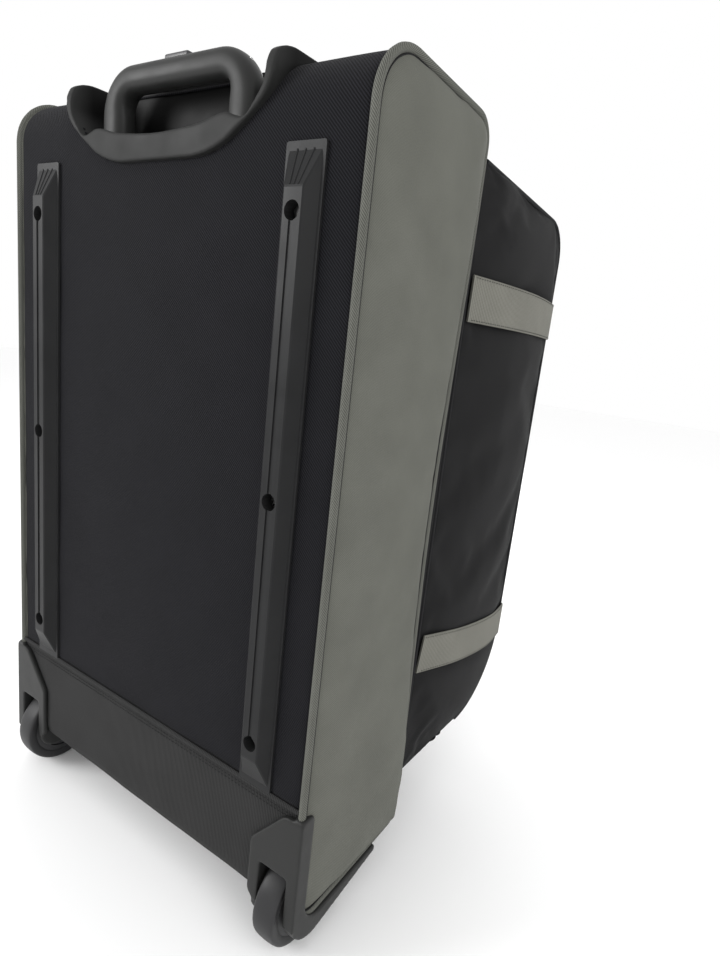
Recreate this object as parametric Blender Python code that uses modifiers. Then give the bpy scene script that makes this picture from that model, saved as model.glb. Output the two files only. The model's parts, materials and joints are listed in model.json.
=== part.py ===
"""Two-wheeled upright ball bag with a telescopic handle, as separate named pieces.

Metres, +Z up. The back panel with its rails faces +Y, the soft main compartment
faces -Y, and the bag stands on its two wheels and two feet at Z = 0. The origin is
below the middle of the bag, on the ground.
"""

import math

import bmesh
import bpy
from mathutils import Matrix, Vector

# ---- driving sizes ---------------------------------------------------------
GAP = 0.0003            # clearance between pieces that touch
FABRIC = 0.003          # padded fabric panel
BOARD = 0.0025          # stiffener sheet

BODY_HALF_WIDTH = 0.202     # outer face of a side panel
BACK_Y = 0.194              # outer face of the back panel
BODY_TOP = 0.704            # outer face of the top, at the back
FRONT_DROP = 0.009          # how far the top falls towards the seam
BODY_BOTTOM = 0.032         # outer face of the bottom, at the back
FRONT_RISE = 0.013          # how far the bottom rises towards the seam
TOP_BACK_RADIUS = 0.040
BOTTOM_BACK_RADIUS = 0.028
KICK_TOP = 0.151            # seam between the back panel and the kick panel

SEAM_Y = 0.0263             # where the two halves of the perimeter zip meet
ZIP_HALF = 0.0095           # width of each half of the zip band
ZIP_FLANGE = 0.019          # how far the base's front frame reaches inwards

MAIN_HALF_WIDTH = BODY_HALF_WIDTH - 0.006     # outer face of its sides
MAIN_FRONT_Y = -0.204
MAIN_TOP = BODY_TOP - 0.033
MAIN_TOP_DROP = 0.014       # how far its top falls towards the front
MAIN_BOTTOM = 0.084
MAIN_TOP_RADIUS = 0.040
MAIN_BOTTOM_RADIUS = 0.095

FLAP_HALF_WIDTH = MAIN_HALF_WIDTH - 0.084
FLAP_LOW = 0.195
FLAP_HIGH = MAIN_TOP - 0.071
FLAP_CLEARANCE = 0.0015

RAIL_X = BODY_HALF_WIDTH - 0.051
RAIL_LOW = KICK_TOP - 0.001
RAIL_HIGH = BODY_TOP - 0.065
RAIL_WIDTH = 0.034
RAIL_RIDGE_WIDTH = 0.017
RAIL_HEIGHT = 0.012
RAIL_FLANGE = 0.0020
RAIL_RAMP = 0.030           # length of the slope at each end of the ridge
RIVET_FIRST_Z = RAIL_LOW + 0.044
RIVET_PITCH = (RAIL_HIGH - 0.045 - RIVET_FIRST_Z) / 2
RIVET_WELL_RADIUS = 0.0065
RIVET_SHANK_RADIUS = 0.0024
RIVET_HEAD_RADIUS = 0.0052

WHEEL_RADIUS = 0.042
WHEEL_WIDTH = 0.022
WHEEL_X = BODY_HALF_WIDTH - FABRIC - 0.0185
WHEEL_Y = BACK_Y - 0.028
WHEEL_CLEARANCE = 0.0035
AXLE_RADIUS = 0.004
AXLE_HEAD = 0.0025
AXLE_HEAD_RADIUS = 0.0065
BEARING_RADIUS = 0.011
BEARING_WIDTH = 0.007
TYRE_INNER_RADIUS = 0.0262

GUARD_OUTER_X = BODY_HALF_WIDTH + 0.0048
GUARD_INNER_X = GUARD_OUTER_X - 0.0528
GUARD_BACK_Y = BACK_Y + 0.0055
GUARD_PEAK_Z = 2 * WHEEL_RADIUS + 0.062
GUARD_FRONT_Y = BACK_Y - 0.119
GUARD_LEG = 0.016           # width of the strip that shows on the side

GRIP_HALF_WIDTH = 0.089
CUP_HALF_WIDTH = GRIP_HALF_WIDTH + 0.031
CUP_LOW = BODY_TOP - 0.070
CUP_PROUD = 0.005           # how far the cup's rim stands off the panel
CUP_FRONT_Y = BACK_Y - 0.046
CUP_WALL = 0.009
CUP_FLOOR = 0.023
CUP_FOOT_INSET = 0.052      # how much narrower the cup is at its foot, on each side
CUP_SHOULDER = 0.040        # height of the shoulder above the foot
CUP_FOOT_RADIUS = 0.090
CUP_SHOULDER_RADIUS = 0.034

GRIP_LEG = 0.029
TUBE_X = GRIP_HALF_WIDTH - GRIP_LEG / 2
TUBE_Y = BACK_Y - 0.018
OUTER_TUBE = (0.0240, 0.0140)
TUBE_WALL = 0.0012
TUBE_PLAY = 0.0004          # clearance all round between one stage and the next
OUTER_TUBE_LOW = 0.096
STAGE_STEP = 0.010          # how much higher each stage's foot stands

GRIP_TOP = BODY_TOP + 0.009
GRIP_BAR = 0.0205
GRIP_DEPTH = 0.022
BUTTON_HALF_LENGTH = 0.0135
BUTTON_HALF_WIDTH = 0.0055
BUTTON_PROUD = 0.0025
YOKE_THICK = 0.004
YOKE_ROD = 0.0036
ROD_LENGTH = 0.360

FOOT_X = BODY_HALF_WIDTH - 0.082
FOOT_HALF_WIDTH = 0.020
FOOT_BACK_Y = 0.068
FOOT_FRONT_Y = 0.040

STRAP_WIDTH = 0.040
STRAP_THICK = 0.0018
HANDLE_PIVOT_X = MAIN_HALF_WIDTH - 0.010
HANDLE_DEPTH = 0.056
HANDLE_BAND = 0.025
HANDLE_THICK = 0.006

BALL_RADIUS = 0.1092
CRADLE_HEIGHT = 0.062
CRADLE_CLEARANCE = 0.002
CRADLE_FLOOR = 0.012

SLIDER = (0.009, 0.0045, 0.014)     # width, height off the tape, length
PULL_LENGTH = 0.028
BASE_PULL_LENGTH = 0.020
PULL_WIDTH = 0.007
PULL_THICK = 0.0018
PULL_HEEL = 0.0006          # how far a pull reaches past its pin

ARC_STEPS = 6
ROUND_STEPS = 32


# ---- scene and materials ---------------------------------------------------
def clear_scene():
    for obj in list(bpy.data.objects):
        bpy.data.objects.remove(obj, do_unlink=True)


def new_collection(name):
    group = bpy.data.collections.new(name)
    bpy.context.scene.collection.children.link(group)
    return group


def new_material(name, colour, roughness, metallic=0.0):
    material = bpy.data.materials.new(name)
    material.use_nodes = True
    shader = material.node_tree.nodes["Principled BSDF"]
    shader.inputs["Base Color"].default_value = (*colour, 1.0)
    shader.inputs["Roughness"].default_value = roughness
    shader.inputs["Metallic"].default_value = metallic
    material.diffuse_color = (*colour, 1.0)
    return material


clear_scene()
PARTS = new_collection("wheeled_ball_bag")
CUTTERS = new_collection("cutters")

TWILL = new_material("black_twill", (0.020, 0.021, 0.024), 0.85)
RIBBED = new_material("ribbed_fabric", (0.070, 0.070, 0.070), 0.80)
GREY = new_material("grey_fabric", (0.180, 0.185, 0.155), 0.70)
BLACK = new_material("black_fabric", (0.030, 0.030, 0.030), 0.80)
WEBBING = new_material("webbing", (0.270, 0.255, 0.225), 0.75)
LINING = new_material("lining", (0.060, 0.060, 0.065), 0.80)
FOAM = new_material("foam", (0.050, 0.050, 0.055), 0.95)
PLASTIC = new_material("grey_plastic", (0.075, 0.077, 0.075), 0.45)
DARK_PLASTIC = new_material("black_plastic", (0.022, 0.022, 0.024), 0.40)
BOARD_PLASTIC = new_material("board_plastic", (0.100, 0.100, 0.100), 0.55)
TYRE = new_material("tyre_urethane", (0.085, 0.085, 0.087), 0.50)
STEEL = new_material("steel", (0.620, 0.620, 0.610), 0.30, 1.0)
ALUMINIUM = new_material("aluminium", (0.700, 0.700, 0.700), 0.35, 1.0)


# ---- outlines --------------------------------------------------------------
def corner_arc(before, corner, after, radius, shares):
    """Points of a fillet of this radius at a corner between two straight edges.

    The shares say how much of each edge the fillet may use up.
    """
    here = Vector(corner)
    back = (Vector(before) - here).normalized()
    ahead = (Vector(after) - here).normalized()
    half_angle = back.angle(ahead) / 2.0
    if radius <= 0.0 or half_angle > math.radians(89.0):
        return [tuple(here)]
    reach = min(radius / math.tan(half_angle),
                shares[0] * (Vector(before) - here).length,
                shares[1] * (Vector(after) - here).length)
    radius = reach * math.tan(half_angle)
    centre = here + (back + ahead).normalized() * (radius / math.sin(half_angle))
    start = here + back * reach - centre
    end = here + ahead * reach - centre
    sweep = start.angle_signed(end)
    points = []
    for step in range(ARC_STEPS + 1):
        turn = -sweep * step / ARC_STEPS
        points.append(tuple(centre + Matrix.Rotation(turn, 2) @ start))
    return points


def rounded(corners, closed=True):
    """Outline through (a, b, radius) corners; an open one keeps its two ends."""
    points = []
    count = len(corners)
    for i, (a, b, radius) in enumerate(corners):
        if not closed and i in (0, count - 1):
            points.append((a, b))
            continue
        before = corners[i - 1]
        after = corners[(i + 1) % count]
        shares = [0.99 if neighbour[2] == 0.0 else 0.49 for neighbour in (before, after)]
        points.extend(corner_arc(before[:2], (a, b), after[:2], radius, shares))
    return points


def signed_area(points):
    total = 0.0
    for (a0, b0), (a1, b1) in zip(points, points[1:] + points[:1]):
        total += a0 * b1 - a1 * b0
    return total / 2.0


def shifted(corners, distance, closed=True):
    """Corners moved to the left of the direction of travel, with radii to match."""
    count = len(corners)
    moved = []
    for i, (a, b, radius) in enumerate(corners):
        here = Vector((a, b))
        edges = []
        if closed or i > 0:
            edges.append((here - Vector(corners[i - 1][:2])).normalized())
        if closed or i < count - 1:
            edges.append((Vector(corners[(i + 1) % count][:2]) - here).normalized())
        normals = [Vector((-edge.y, edge.x)) for edge in edges]
        if len(normals) == 1:
            spot = here + normals[0] * distance
            moved.append((spot.x, spot.y, 0.0))
            continue
        middle = (normals[0] + normals[1]).normalized()
        spot = here + middle * (distance / middle.dot(normals[0]))
        turning_left = edges[0].cross(edges[1]) > 0.0
        new_radius = radius - distance if turning_left else radius + distance
        moved.append((spot.x, spot.y, max(new_radius, 0.0) if radius > 0.0 else 0.0))
    return moved


def band(corners, thickness):
    """Closed outline of a sheet of this thickness laid to the left of an open path."""
    outer = rounded(corners, closed=False)
    inner = rounded(shifted(corners, thickness, closed=False), closed=False)
    return outer + inner[::-1]


# ---- solids ----------------------------------------------------------------
def finish(obj, material, group):
    for holder in list(obj.users_collection):
        holder.objects.unlink(obj)
    group.objects.link(obj)
    obj.data.materials.clear()
    obj.data.materials.append(material)
    if group is CUTTERS:
        obj.hide_render = True
        obj.display_type = "WIRE"
    return obj


def as_mesh(source, material, group, smooth_angle=30.0):
    """Turn a curve or a Screw profile into a welded mesh that takes Booleans."""
    bpy.context.view_layer.update()
    evaluated = source.evaluated_get(bpy.context.evaluated_depsgraph_get())
    mesh = bpy.data.meshes.new_from_object(evaluated)
    name = source.name
    matrix = source.matrix_world.copy()
    bpy.data.objects.remove(source, do_unlink=True)
    work = bmesh.new()
    work.from_mesh(mesh)
    bmesh.ops.remove_doubles(work, verts=work.verts, dist=0.000005)
    bmesh.ops.dissolve_degenerate(work, edges=work.edges, dist=0.000002)
    bmesh.ops.recalc_face_normals(work, faces=work.faces)
    work.to_mesh(mesh)
    work.free()
    mesh.name = name
    obj = bpy.data.objects.new(name, mesh)
    bpy.context.scene.collection.objects.link(obj)
    obj.matrix_world = matrix
    mesh.shade_smooth()
    mesh.set_sharp_from_angle(angle=math.radians(smooth_angle))
    return finish(obj, material, group)


# Local (a, b, extrusion) axes of a plate that is extruded along X, Y or Z.
PLATE_AXES = {
    "X": Matrix(((0, 0, 1), (1, 0, 0), (0, 1, 0))),
    "Y": Matrix(((1, 0, 0), (0, 0, -1), (0, 1, 0))),
    "Z": Matrix.Identity(3),
}


def plate(name, outline, axis, ends, material, group=None):
    """Flat outline extruded between two places along X, Y or Z.

    The outline is (Y, Z) for X, (X, Z) for Y and (X, Y) for Z.
    """
    curve = bpy.data.curves.new(name, "CURVE")
    curve.dimensions = "2D"
    curve.fill_mode = "BOTH"
    curve.extrude = abs(ends[1] - ends[0]) / 2.0
    points = outline if signed_area(outline) > 0.0 else outline[::-1]
    spline = curve.splines.new("POLY")
    spline.points.add(len(points) - 1)
    for point, (a, b) in zip(spline.points, points):
        point.co = (a, b, 0.0, 1.0)
    spline.use_cyclic_u = True
    obj = bpy.data.objects.new(name, curve)
    bpy.context.scene.collection.objects.link(obj)
    offset = Vector((0.0, 0.0, 0.0))
    offset["XYZ".index(axis)] = (ends[0] + ends[1]) / 2.0
    obj.matrix_world = Matrix.Translation(offset) @ PLATE_AXES[axis].to_4x4()
    return as_mesh(obj, material, group or PARTS)


def box(name, low, high, material, group=None):
    work = bmesh.new()
    bmesh.ops.create_cube(work, size=1.0)
    size = Vector(high) - Vector(low)
    bmesh.ops.scale(work, vec=size, verts=work.verts)
    mesh = bpy.data.meshes.new(name)
    work.to_mesh(mesh)
    work.free()
    obj = bpy.data.objects.new(name, mesh)
    obj.location = (Vector(high) + Vector(low)) / 2.0
    bpy.context.scene.collection.objects.link(obj)
    return finish(obj, material, group or PARTS)


def turned(name, profile, centre, axis, material, steps=ROUND_STEPS, group=None, ring=True):
    """Profile of (radius, height) points turned about an axis through centre."""
    if signed_area(profile) > 0.0:
        profile = profile[::-1]
    mesh = bpy.data.meshes.new(name)
    edges = [(i, i + 1) for i in range(len(profile) - 1)]
    if ring:
        edges.append((len(profile) - 1, 0))
    mesh.from_pydata([(radius, 0.0, height) for radius, height in profile], edges, [])
    obj = bpy.data.objects.new(name, mesh)
    bpy.context.scene.collection.objects.link(obj)
    screw = obj.modifiers.new("turn", "SCREW")
    screw.angle = math.tau
    screw.steps = steps
    screw.render_steps = steps
    screw.axis = "Z"
    screw.use_merge_vertices = True
    screw.merge_threshold = 0.00001
    turn = Vector((0.0, 0.0, 1.0)).rotation_difference(Vector(axis)).to_matrix().to_4x4()
    obj.matrix_world = Matrix.Translation(centre) @ turn
    return as_mesh(obj, material, group or PARTS)


def cylinder(name, start, end, radius, material, steps=ROUND_STEPS, group=None):
    start = Vector(start)
    along = Vector(end) - start
    profile = [(0.0, along.length), (radius, along.length), (radius, 0.0), (0.0, 0.0)]
    return turned(name, profile, start, along.normalized(), material, steps, group, ring=False)


def bevel(obj, width, segments=2, angle=35.0):
    modifier = obj.modifiers.new("rounded edges", "BEVEL")
    modifier.width = width
    modifier.segments = segments
    modifier.limit_method = "ANGLE"
    modifier.angle_limit = math.radians(angle)
    modifier.use_clamp_overlap = True
    return obj


def boolean(obj, tool, operation):
    modifier = obj.modifiers.new(operation.lower(), "BOOLEAN")
    modifier.operation = operation
    modifier.solver = "EXACT"
    modifier.object = tool
    return obj


def cut(obj, *tools):
    for tool in tools:
        boolean(obj, tool, "DIFFERENCE")
    return obj


def join(obj, *tools):
    for tool in tools:
        boolean(obj, tool, "UNION")
    return obj


def sided(side, *values):
    """The same distances on the left (-1) or right (+1) half, in rising order."""
    return sorted(side * value for value in values)


def mirrored(side, outline):
    return [(side * a, b) for a, b in outline]


SIDES = (("left", -1), ("right", 1))


# ---- joints ----------------------------------------------------------------
def pivot(name, place):
    empty = bpy.data.objects.new(name, None)
    empty.empty_display_size = 0.02
    empty.location = place
    PARTS.objects.link(empty)
    return empty


def carry(parent, *children):
    """Parent pieces to an empty on their joint's axis without moving them."""
    bpy.context.view_layer.update()
    for child in children:
        child.parent = parent
        child.matrix_parent_inverse = parent.matrix_world.inverted()


# ---- shared outlines -------------------------------------------------------
BASE_FRONT_Y = SEAM_Y + ZIP_HALF + GAP
BODY_TOP_FRONT = BODY_TOP - FRONT_DROP
BODY_BOTTOM_FRONT = BODY_BOTTOM + FRONT_RISE

BACK_PATH = [                       # kick seam, up the back and forward over the top
    (BACK_Y, KICK_TOP + GAP, 0.0),
    (BACK_Y, BODY_TOP, TOP_BACK_RADIUS),
    (BASE_FRONT_Y, BODY_TOP_FRONT, 0.0),
]
KICK_PATH = [                       # forward along the bottom, then up to the kick seam
    (BASE_FRONT_Y, BODY_BOTTOM_FRONT, 0.0),
    (BACK_Y, BODY_BOTTOM, BOTTOM_BACK_RADIUS),
    (BACK_Y, KICK_TOP - GAP, 0.0),
]
SIDE_OUTLINE = [
    (BASE_FRONT_Y, BODY_BOTTOM_FRONT, 0.012),
    (BACK_Y, BODY_BOTTOM, BOTTOM_BACK_RADIUS),
    (BACK_Y, BODY_TOP, TOP_BACK_RADIUS),
    (BASE_FRONT_Y, BODY_TOP_FRONT, 0.020),
]
MAIN_REAR_Y = SEAM_Y - ZIP_HALF - 2 * GAP
MAIN_TOP_FRONT = MAIN_TOP - MAIN_TOP_DROP
MAIN_OUTLINE = [
    (MAIN_REAR_Y, MAIN_TOP, 0.0),
    (MAIN_FRONT_Y, MAIN_TOP_FRONT, MAIN_TOP_RADIUS),
    (MAIN_FRONT_Y, MAIN_BOTTOM, MAIN_BOTTOM_RADIUS),
    (MAIN_REAR_Y, MAIN_BOTTOM, 0.0),
]
WINDOW = [                          # way in to the main compartment, closed by the flap
    (-FLAP_HALF_WIDTH, FLAP_LOW, 0.03), (FLAP_HALF_WIDTH, FLAP_LOW, 0.0),
    (FLAP_HALF_WIDTH, FLAP_HIGH, 0.0), (-FLAP_HALF_WIDTH, FLAP_HIGH, 0.03),
]
GUARD_ARM = [
    (GUARD_FRONT_Y, BODY_BOTTOM + 0.003, 0.002),
    (GUARD_BACK_Y, WHEEL_RADIUS - 0.029, 0.030),
    (GUARD_BACK_Y, GUARD_PEAK_Z, 0.004),
    (GUARD_BACK_Y - GUARD_LEG, GUARD_PEAK_Z, 0.004),
    (GUARD_BACK_Y - GUARD_LEG, BODY_BOTTOM + 0.002, 0.022),
    (GUARD_FRONT_Y, BODY_BOTTOM + 0.0095, 0.002),
]
PANEL_HALF_WIDTH = BODY_HALF_WIDTH - FABRIC - GAP
SLOT_LOW_X = WHEEL_X - WHEEL_WIDTH / 2 - WHEEL_CLEARANCE
SLOT_HIGH_X = WHEEL_X + WHEEL_WIDTH / 2 + WHEEL_CLEARANCE
HOUSING_WALL = 0.0035
HOUSING_LOW_X = SLOT_LOW_X - 2 * HOUSING_WALL
HOUSING_HIGH_X = SLOT_HIGH_X + HOUSING_WALL
GUARD_ARM_X = HOUSING_HIGH_X - 0.0012
HOUSING_FRONT_Y = WHEEL_Y - WHEEL_RADIUS - WHEEL_CLEARANCE - HOUSING_WALL
HOUSING_TOP_Z = 2 * WHEEL_RADIUS + WHEEL_CLEARANCE + HOUSING_WALL + 0.001
HOUSING_LOW_Z = BODY_BOTTOM - 0.004
WHEEL_SLOT_RADIUS = WHEEL_RADIUS + WHEEL_CLEARANCE
BACK_BOARD_Y = BACK_Y - FABRIC - GAP
CUP_TOP = BODY_TOP + CUP_PROUD


# ---- cup for the handle, and what passes through it ------------------------
def cup_outline(grow):
    """Outline seen from behind: wide at the top edge, with a long round foot."""
    half = CUP_HALF_WIDTH
    top = CUP_TOP + 0.010
    shoulder = CUP_LOW + CUP_SHOULDER
    foot = half - CUP_FOOT_INSET
    corners = [(-foot, CUP_LOW, CUP_FOOT_RADIUS), (foot, CUP_LOW, CUP_FOOT_RADIUS),
               (half, shoulder, CUP_SHOULDER_RADIUS), (half, top, 0.0),
               (-half, top, 0.0), (-half, shoulder, CUP_SHOULDER_RADIUS)]
    return rounded(shifted(corners, -grow))


def cup_side(grow):
    """Outline seen from the side: follows the round top back edge of the bag."""
    return rounded([(CUP_FRONT_Y - grow, CUP_LOW - 0.01, 0.0),
                    (BACK_Y + CUP_PROUD + grow, CUP_LOW - 0.01, 0.0),
                    (BACK_Y + CUP_PROUD + grow, CUP_TOP + grow, TOP_BACK_RADIUS + CUP_PROUD),
                    (CUP_FRONT_Y - grow, CUP_TOP + grow, 0.004)])


def tube_hole(name, side, size, low, high):
    half = (size[0] / 2, size[1] / 2)
    return box(name, (side * TUBE_X - half[0], TUBE_Y - half[1], low),
               (side * TUBE_X + half[0], TUBE_Y + half[1], high), BLACK, CUTTERS)


def stage_size(stage, grow=0.0):
    """Outer width and depth of a tube: 0 is the fixed one, 2 the innermost."""
    shrink = 2 * stage * (TUBE_WALL + TUBE_PLAY)
    return (OUTER_TUBE[0] - shrink + 2 * grow, OUTER_TUBE[1] - shrink + 2 * grow)


def make_cup():
    wide = (CUP_FRONT_Y - 0.02, BACK_Y + 0.03)
    cup = plate("handle_cup", cup_outline(0.0), "Y", wide, PLASTIC)
    side_form = plate("cup_side_form", cup_side(0.0), "X", (-0.2, 0.2), PLASTIC, CUTTERS)
    boolean(cup, side_form, "INTERSECT")
    inner = CUP_HALF_WIDTH - CUP_WALL
    foot = GRIP_HALF_WIDTH + 0.006
    floor = CUP_LOW + CUP_FLOOR
    recess = plate("cup_recess", rounded([
        (-foot, floor, 0.010), (foot, floor, 0.010),
        (inner, floor + 0.020, 0.016), (inner, CUP_TOP + 0.02, 0.0),
        (-inner, CUP_TOP + 0.02, 0.0), (-inner, floor + 0.020, 0.016)]),
        "Y", (CUP_FRONT_Y + 0.005, BACK_Y + 0.04), PLASTIC, CUTTERS)
    cut(cup, recess)
    for label, side in SIDES:
        hole = tube_hole("cup_hole_" + label, side, stage_size(1, TUBE_PLAY), CUP_LOW - 0.02, CUP_TOP)
        cut(cup, hole)
    return bevel(cup, 0.0012, 2, 40.0)


def cup_opening():
    """Cutter that lets the cup through the fabric and the back board."""
    opening = plate("cup_opening", cup_outline(GAP), "Y", (CUP_FRONT_Y - 0.03, BACK_Y + 0.03),
                    BLACK, CUTTERS)
    side_form = plate("cup_opening_side", cup_side(GAP), "X", (-0.2, 0.2), BLACK, CUTTERS)
    return boolean(opening, side_form, "INTERSECT")


# ---- base: panels, boards, rails -------------------------------------------
def housing_space(label, side):
    """Cutter that clears the wheel housing out of the panels it passes through."""
    x = sided(side, HOUSING_LOW_X - AXLE_HEAD - 2 * GAP, BODY_HALF_WIDTH + 0.02)
    return box("housing_space_" + label, (x[0], HOUSING_FRONT_Y - GAP, 0.0),
               (x[1], GUARD_BACK_Y + 0.01, HOUSING_TOP_Z + GAP), BLACK, CUTTERS)


def make_base_panels(opening):
    x = (-PANEL_HALF_WIDTH, PANEL_HALF_WIDTH)
    back = plate("back_panel", band(BACK_PATH, FABRIC), "X", x, TWILL)
    kick = plate("kick_panel", band(KICK_PATH, FABRIC), "X", x, RIBBED)
    cut(back, opening)
    for label, side in SIDES:
        arm = plate("guard_space_" + label, rounded(shifted(GUARD_ARM, -GAP)), "X",
                    sided(side, GUARD_ARM_X - GAP, BODY_HALF_WIDTH + 0.02), BLACK, CUTTERS)
        housing = housing_space(label, side)
        cut(kick, housing, arm)
        cut(back, housing, arm)
        panel = plate("side_panel_" + label, rounded(SIDE_OUTLINE), "X",
                      sided(side, BODY_HALF_WIDTH - FABRIC, BODY_HALF_WIDTH), GREY)
        cut(panel, arm)
    return back, kick


def make_boards(opening):
    half = BODY_HALF_WIDTH - 0.014
    back = box("back_board", (-half, BACK_BOARD_Y - BOARD, HOUSING_TOP_Z + 0.004),
               (half, BACK_BOARD_Y, BODY_TOP - TOP_BACK_RADIUS - 0.002), BOARD_PLASTIC)
    cut(back, opening)
    inside = FABRIC + GAP
    front_y = BASE_FRONT_Y + 0.006
    slope = FRONT_RISE / (BACK_Y - BASE_FRONT_Y)
    reach = HOUSING_FRONT_Y - 0.002
    floor = [(front_y, BODY_BOTTOM + slope * (BACK_Y - front_y) + inside, 0.0),
             (reach, BODY_BOTTOM + slope * (BACK_Y - reach) + inside, 0.0)]
    plate("bottom_board", band(floor, BOARD), "X", (-half, half), BOARD_PLASTIC)
    return back


def rivet_heights():
    return [RIVET_FIRST_Z + i * RIVET_PITCH for i in range(3)]


def hipped_block(name, place, base_y, top_y):
    """Ridge with sloping sides and ends, like a roof cut off flat, standing off the panel."""
    x, low, high = place
    lip = 0.0012
    base_half = (RAIL_WIDTH / 2 - lip, (high - low) / 2 - lip)
    top_half = (RAIL_RIDGE_WIDTH / 2, (high - low) / 2 - RAIL_RAMP)
    block = box(name, (x - base_half[0], base_y, low + lip), (x + base_half[0], top_y, high - lip),
                PLASTIC, CUTTERS)
    for vertex in block.data.vertices:
        if vertex.co.y > 0.0:
            vertex.co.x *= top_half[0] / base_half[0]
            vertex.co.z *= top_half[1] / base_half[1]
    return block


def make_rails(back_panel, back_board):
    number = 0
    for label, side in SIDES:
        x = side * RAIL_X
        half = RAIL_WIDTH / 2
        seat = BACK_Y + GAP
        rail = plate("rail_" + label, rounded([
            (x - half, RAIL_LOW, 0.002), (x + half, RAIL_LOW, 0.002),
            (x + half, RAIL_HIGH, 0.002), (x - half, RAIL_HIGH, 0.002)]),
            "Y", (seat, seat + RAIL_FLANGE), PLASTIC)
        crown = BACK_Y + RAIL_HEIGHT
        spine = hipped_block("rail_ridge_" + label, (x, RAIL_LOW, RAIL_HIGH), seat, crown)
        bevel(spine, 0.0008, 1, 15.0)
        join(rail, spine)
        groove = box("rail_groove_" + label, (x - 0.002, crown - 0.001, RAIL_LOW + 0.040),
                     (x + 0.002, crown + 0.004, RAIL_HIGH - 0.040), PLASTIC, CUTTERS)
        cut(rail, groove)
        for z in rivet_heights():
            number += 1
            well = cylinder("rivet_well_%d" % number, (x, seat + RAIL_FLANGE, z), (x, crown + 0.01, z),
                            RIVET_WELL_RADIUS, PLASTIC, 20, CUTTERS)
            bore = cylinder("rivet_bore_%d" % number, (x, BACK_Y - 0.02, z), (x, crown + 0.01, z),
                            RIVET_SHANK_RADIUS + GAP, PLASTIC, 12, CUTTERS)
            cut(rail, well, bore)
            cut(back_panel, bore)
            cut(back_board, bore)
            make_rivet("rail_rivet_%d" % number, x, seat + RAIL_FLANGE, z)


def make_rivet(name, x, seat, z):
    """Blind rivet: domed head in the well, shank, and the bulb behind the board."""
    inner = BACK_BOARD_Y - BOARD
    head = RIVET_HEAD_RADIUS
    grip = seat - inner
    profile = [(0.0, grip + 0.0024), (head * 0.55, grip + 0.0020), (head, grip + 0.0008),
               (head, grip + GAP), (RIVET_SHANK_RADIUS, grip + GAP),
               (RIVET_SHANK_RADIUS, -GAP), (0.0038, -GAP), (0.0034, -0.0022), (0.0, -0.0030)]
    turned(name, profile, (x, inner, z), (0.0, 1.0, 0.0), STEEL, 14, ring=False)


def make_zip_frames():
    """Edge frame and divider that carry the two halves of the perimeter zip."""
    x = BODY_HALF_WIDTH - FABRIC
    outer = [(-x, BODY_BOTTOM_FRONT + 0.001, 0.012), (x, BODY_BOTTOM_FRONT + 0.001, 0.012),
             (x, BODY_TOP_FRONT - 0.002, 0.020), (-x, BODY_TOP_FRONT - 0.002, 0.020)]
    rear = plate("zip_tape_rear", rounded(outer), "Y", (SEAM_Y + GAP, SEAM_Y + ZIP_HALF), BLACK)
    inner_x = x - ZIP_FLANGE
    inner_low = MAIN_BOTTOM + ZIP_FLANGE
    inner_high = MAIN_TOP - ZIP_FLANGE
    hole = plate("zip_tape_rear_hole", rounded([
        (-inner_x, inner_low, 0.02), (inner_x, inner_low, 0.02),
        (inner_x, inner_high, 0.02), (-inner_x, inner_high, 0.02)]),
        "Y", (SEAM_Y - 0.01, SEAM_Y + 0.03), BLACK, CUTTERS)
    cut(rear, hole)
    half = MAIN_HALF_WIDTH
    ring = [(-half, MAIN_BOTTOM, 0.012), (half, MAIN_BOTTOM, 0.012),
            (half, MAIN_TOP, 0.020), (-half, MAIN_TOP, 0.020)]
    divider = plate("divider_panel", rounded(ring), "Y", (SEAM_Y - ZIP_HALF, SEAM_Y - GAP), LINING)
    hollow = plate("divider_hollow", rounded(shifted(ring, 0.010)), "Y",
                   (SEAM_Y - ZIP_HALF + FABRIC, SEAM_Y + 0.01), LINING, CUTTERS)
    return cut(divider, hollow)


def make_feet():
    slope = FRONT_RISE / (BACK_Y - BASE_FRONT_Y)
    for label, side in SIDES:
        x = sided(side, FOOT_X - FOOT_HALF_WIDTH, FOOT_X + FOOT_HALF_WIDTH)
        top = [BODY_BOTTOM + slope * (BACK_Y - y) - GAP for y in (FOOT_FRONT_Y, FOOT_BACK_Y)]
        foot = plate("foot_" + label, [
            (FOOT_FRONT_Y + 0.004, 0.0), (FOOT_BACK_Y - 0.004, 0.0),
            (FOOT_BACK_Y, top[1]), (FOOT_FRONT_Y, top[0])], "X", x, DARK_PLASTIC)
        bevel(foot, 0.002, 2, 40.0)


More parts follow.
